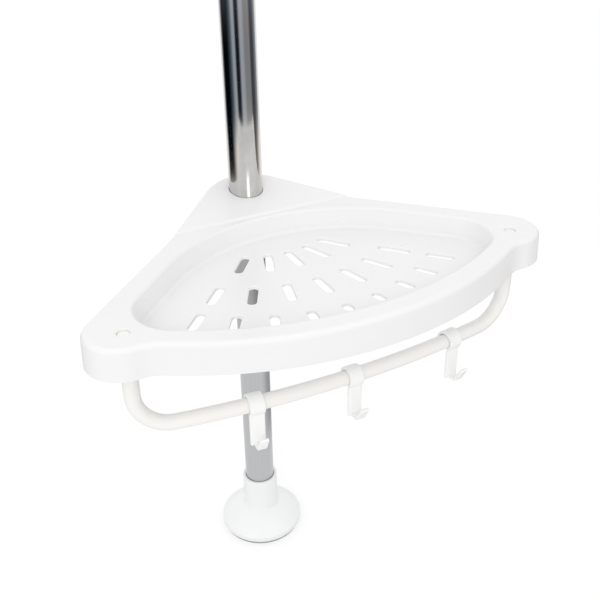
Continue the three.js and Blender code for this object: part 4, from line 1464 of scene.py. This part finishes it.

# %% [markdown]
# ## What the plating reflects
# A polished tube shows the whole room squeezed into upright bands, so its look depends on what stands
# round it. In a white room it would be flat grey. Photographers hang dark and light cloth beside the
# subject. Here glowing sheets that only reflections see stand in for that cloth, so the bands on the plating
# are painted reflections. Their tones are formulas of the height above the floor and of the direction,
# measured from the camera towards its right, which is twice the angle of the tube's surface that shows it.

# %% Helpers for what only reflections see
toward_camera = Vector((camera_place.x, camera_place.y)).normalized()
toward_right = Vector((-toward_camera.y, toward_camera.x))


def soft_step(tree, value, start, end):
    return node(tree, "ShaderNodeMapRange", {"Value": value, "From Min": start, "From Max": end},
                interpolation_type="SMOOTHSTEP")


def window(tree, value, start, end, soft_before, soft_after):
    """1 from start to end, falling softly to 0 before and after them."""
    rise = soft_step(tree, value, start - soft_before, start)
    return rise * soft_step(tree, value, end + soft_after, end)


def sheet_material(name):
    """A blank material, and each spot's direction in degrees, distance from the axis and height."""
    material, tree, _, place = blank_material(name)
    x, y, height = parts(tree, place)
    ahead = x * toward_camera.x + y * toward_camera.y
    aside = x * toward_right.x + y * toward_right.y
    spot = {"direction": aside.heading(ahead) * degrees(1),
            "distance": (x * x + y * y).root(), "height": height}
    return material, tree, spot


def upright_sheet(name, distance, start, end, bottom, top, steps):
    corners = []
    for level in (bottom, top):
        for i in range(steps + 1):
            turn = radians(start + (end - start) * i / steps)
            way = (toward_camera * cos(turn) + toward_right * sin(turn)) * distance
            corners.append(Vector((way.x, way.y, level)) / MM)
    row = steps + 1
    return piece_from(name, corners, [(i, i + 1, row + i + 1, row + i) for i in range(steps)])


def seen_by_reflections(sheet, material):
    sheet.data.materials.append(material)
    sheet.visible_camera = False
    sheet.visible_diffuse = False
    sheet.visible_shadow = False
    sheet.visible_transmission = False


print("Directions start from", [round(share, 3) for share in toward_camera])

# %% [markdown]
# This glowing sheet paints the reflections: it is bright and warm near the floor, dims upwards and turns
# pale again high up. Each band multiplies it, and a noise that changes mostly with the direction adds fine
# upright streaks, all of them painted reflection.

# %% Painted reflection sheet
# each band's middle, half and soft edges in degrees, its tint, and the heights in metres where it rises
bands = {
    "black": (-94, 16, (26, 40), (0.0, 0.004, 0.006), (0.0, 0.025)),
    "navy": (-11, 6, (11, 16), (0.01, 0.03, 0.06), (0.085, 0.107)),
    "haze": (-12, 8, (12, 14), (0.72, 0.68, 0.65), (0.02, 0.05)),
    "teal": (-62, 6, (14, 24), (0.26, 0.36, 0.40), (0.06, 0.14)),
    "beige": (48, 10, (16, 14), (0.64, 0.60, 0.54), (0.05, 0.14)),
    "brown": (84, 6, (19, 42), (0.17, 0.16, 0.16), (0.012, 0.032)),
}
painted_reflection_distance = 0.8
painted_reflection_span = (-132, 128)
painted_reflection_top = 1.3
painted_reflection_steps = 84
warm_below, cool_above, pale_above = (1.06, 1.01, 0.93), (0.42, 0.46, 0.52), (0.88, 0.90, 0.93)
dims = (0.07, 0.15)
pales = (0.24, 0.55)
band_share_high_up = 0.55
streak_scales = {"direction": 0.35, "height": 1.5}
streak_from, streak_strength, streak_tint = 0.35, 0.64, (0.75, 0.75, 0.75)


def curtain():
    material, tree, spot = sheet_material("curtain")
    direction, height = spot["direction"], spot["height"]
    pale = soft_step(tree, height, *pales)
    colour = blend(tree, soft_step(tree, height, *dims), warm_below, cool_above)
    colour = blend(tree, pale, colour, pale_above)
    for middle, half, soft, tint, rise in bands.values():
        share = window(tree, direction, middle - half, middle + half, *soft) * soft_step(tree, height, *rise)
        share = share * between(tree, pale, 1.0, band_share_high_up)
        colour = blend(tree, share, colour, tint, "MULTIPLY")
    place = vector(tree, direction * streak_scales["direction"], 0.0, height * streak_scales["height"])
    streaks = noise(tree, place, scale=1.0, detail=2.0)
    colour = blend(tree, (streaks - streak_from) * streak_strength, colour, streak_tint, "MULTIPLY")
    # the sheet glows with these tones, which the plating shows as painted reflections
    surface(tree, glow(tree, colour, 1.0))
    sheet = upright_sheet("curtain", painted_reflection_distance, *painted_reflection_span, 0.0, painted_reflection_top, painted_reflection_steps)
    seen_by_reflections(sheet, material)


# a glowing sheet whose tones are painted reflections on the plating
curtain()
print("Curtain stands", painted_reflection_distance, "m from the pole, with bands:", ", ".join(bands))

# %% [markdown]
# Low on the upper pole the picture has one thin bright line, the gleam of a lamp, which widens down to
# the tray. A small strip close in front of the pole, which glows only towards it, puts that line there.

# %% Gleam
gleam_distance = 0.0165
gleam_middle, gleam_half, gleam_soft = 11, 3.5, 4
gleam_bottom = top_level(-gleam_distance / MM) * MM
gleam_height = 0.024
gleam_top = gleam_bottom + gleam_height
gleam_fade = 0.014
gleam_colour = (1, 0.98, 0.95, 1)
gleam_strength = 1.7
gleam_steps = 8


def gleam():
    material, tree, spot = sheet_material("gleam")
    start, end = gleam_middle - gleam_half, gleam_middle + gleam_half
    share = window(tree, spot["direction"], start, end, gleam_soft, gleam_soft)
    share = share * soft_step(tree, spot["height"], gleam_top, gleam_top - gleam_fade)
    share = share * node(tree, "ShaderNodeNewGeometry", output="Backfacing")
    clear = node(tree, "ShaderNodeBsdfTransparent")
    surface(tree, mixed_shader(tree, share, clear, glow(tree, gleam_colour, gleam_strength)))
    strip = upright_sheet("gleam", gleam_distance, start - gleam_soft, end + gleam_soft, gleam_bottom,
                          gleam_top, gleam_steps)
    if strip.data.polygons[0].normal.dot(toward_camera.to_3d()) < 0:
        strip.data.flip_normals()
    seen_by_reflections(strip, material)


gleam()
print("Gleam strip stands", gleam_distance, "m from the pole's axis")

# %% [markdown]
# Under the tray the plating looks down at the floor. A flat glowing ring there, darker to the right and
# again seen by reflections only, paints a shaded floor into the plating: its grey, its darker far band and
# its darker right side are painted shade. It gives the grey that shows through the slots and down the
# pole's right edge.

# %% Ring on the floor
ring_inner, ring_outer = 0.03, 0.76
ring_level = 0.001
ring_steps = 96
near_colour, far_colour = (0.765, 0.785, 0.82), (0.765, 0.785, 0.81)
shade_start, shade_full, shade_end = 0.30, 0.42, 0.72
shade_tint = (0.70, 0.70, 0.70)
side_middle, side_soft, side_turn = 118, 75, 60
side_start, side_full = 0.10, 0.18
side_tint = (0.55, 0.55, 0.56)


def floor_ring():
    material, tree, spot = sheet_material("floor_ring")
    distance = spot["distance"]
    far = soft_step(tree, distance, shade_start, shade_full)
    colour = blend(tree, soft_step(tree, distance, ring_inner, ring_outer), near_colour, far_colour)
    # painted shade: the far band of the ring is darker
    shade = far * soft_step(tree, distance, ring_outer, shade_end)
    colour = blend(tree, shade, colour, shade_tint, "MULTIPLY")
    # painted shade: the ring is darker to the right
    direction = spot["direction"] + far * side_turn
    share = soft_step(tree, direction, side_middle - side_soft, side_middle)
    share = share * soft_step(tree, distance, side_start, side_full)
    surface(tree, glow(tree, blend(tree, share, colour, side_tint, "MULTIPLY"), 1.0))
    level = ring_level / MM
    inner, outer = [ring(arc(0, 0, reach / MM, 0, 2 * pi, ring_steps), level)
                    for reach in (ring_inner, ring_outer)]
    faces = faces_between(row_numbers(0, ring_steps), row_numbers(1, ring_steps))
    seen_by_reflections(piece_from("floor_ring", inner + outer, faces), material)


floor_ring()
print("Ring lies", ring_inner, "to", ring_outer, "m from the pole")
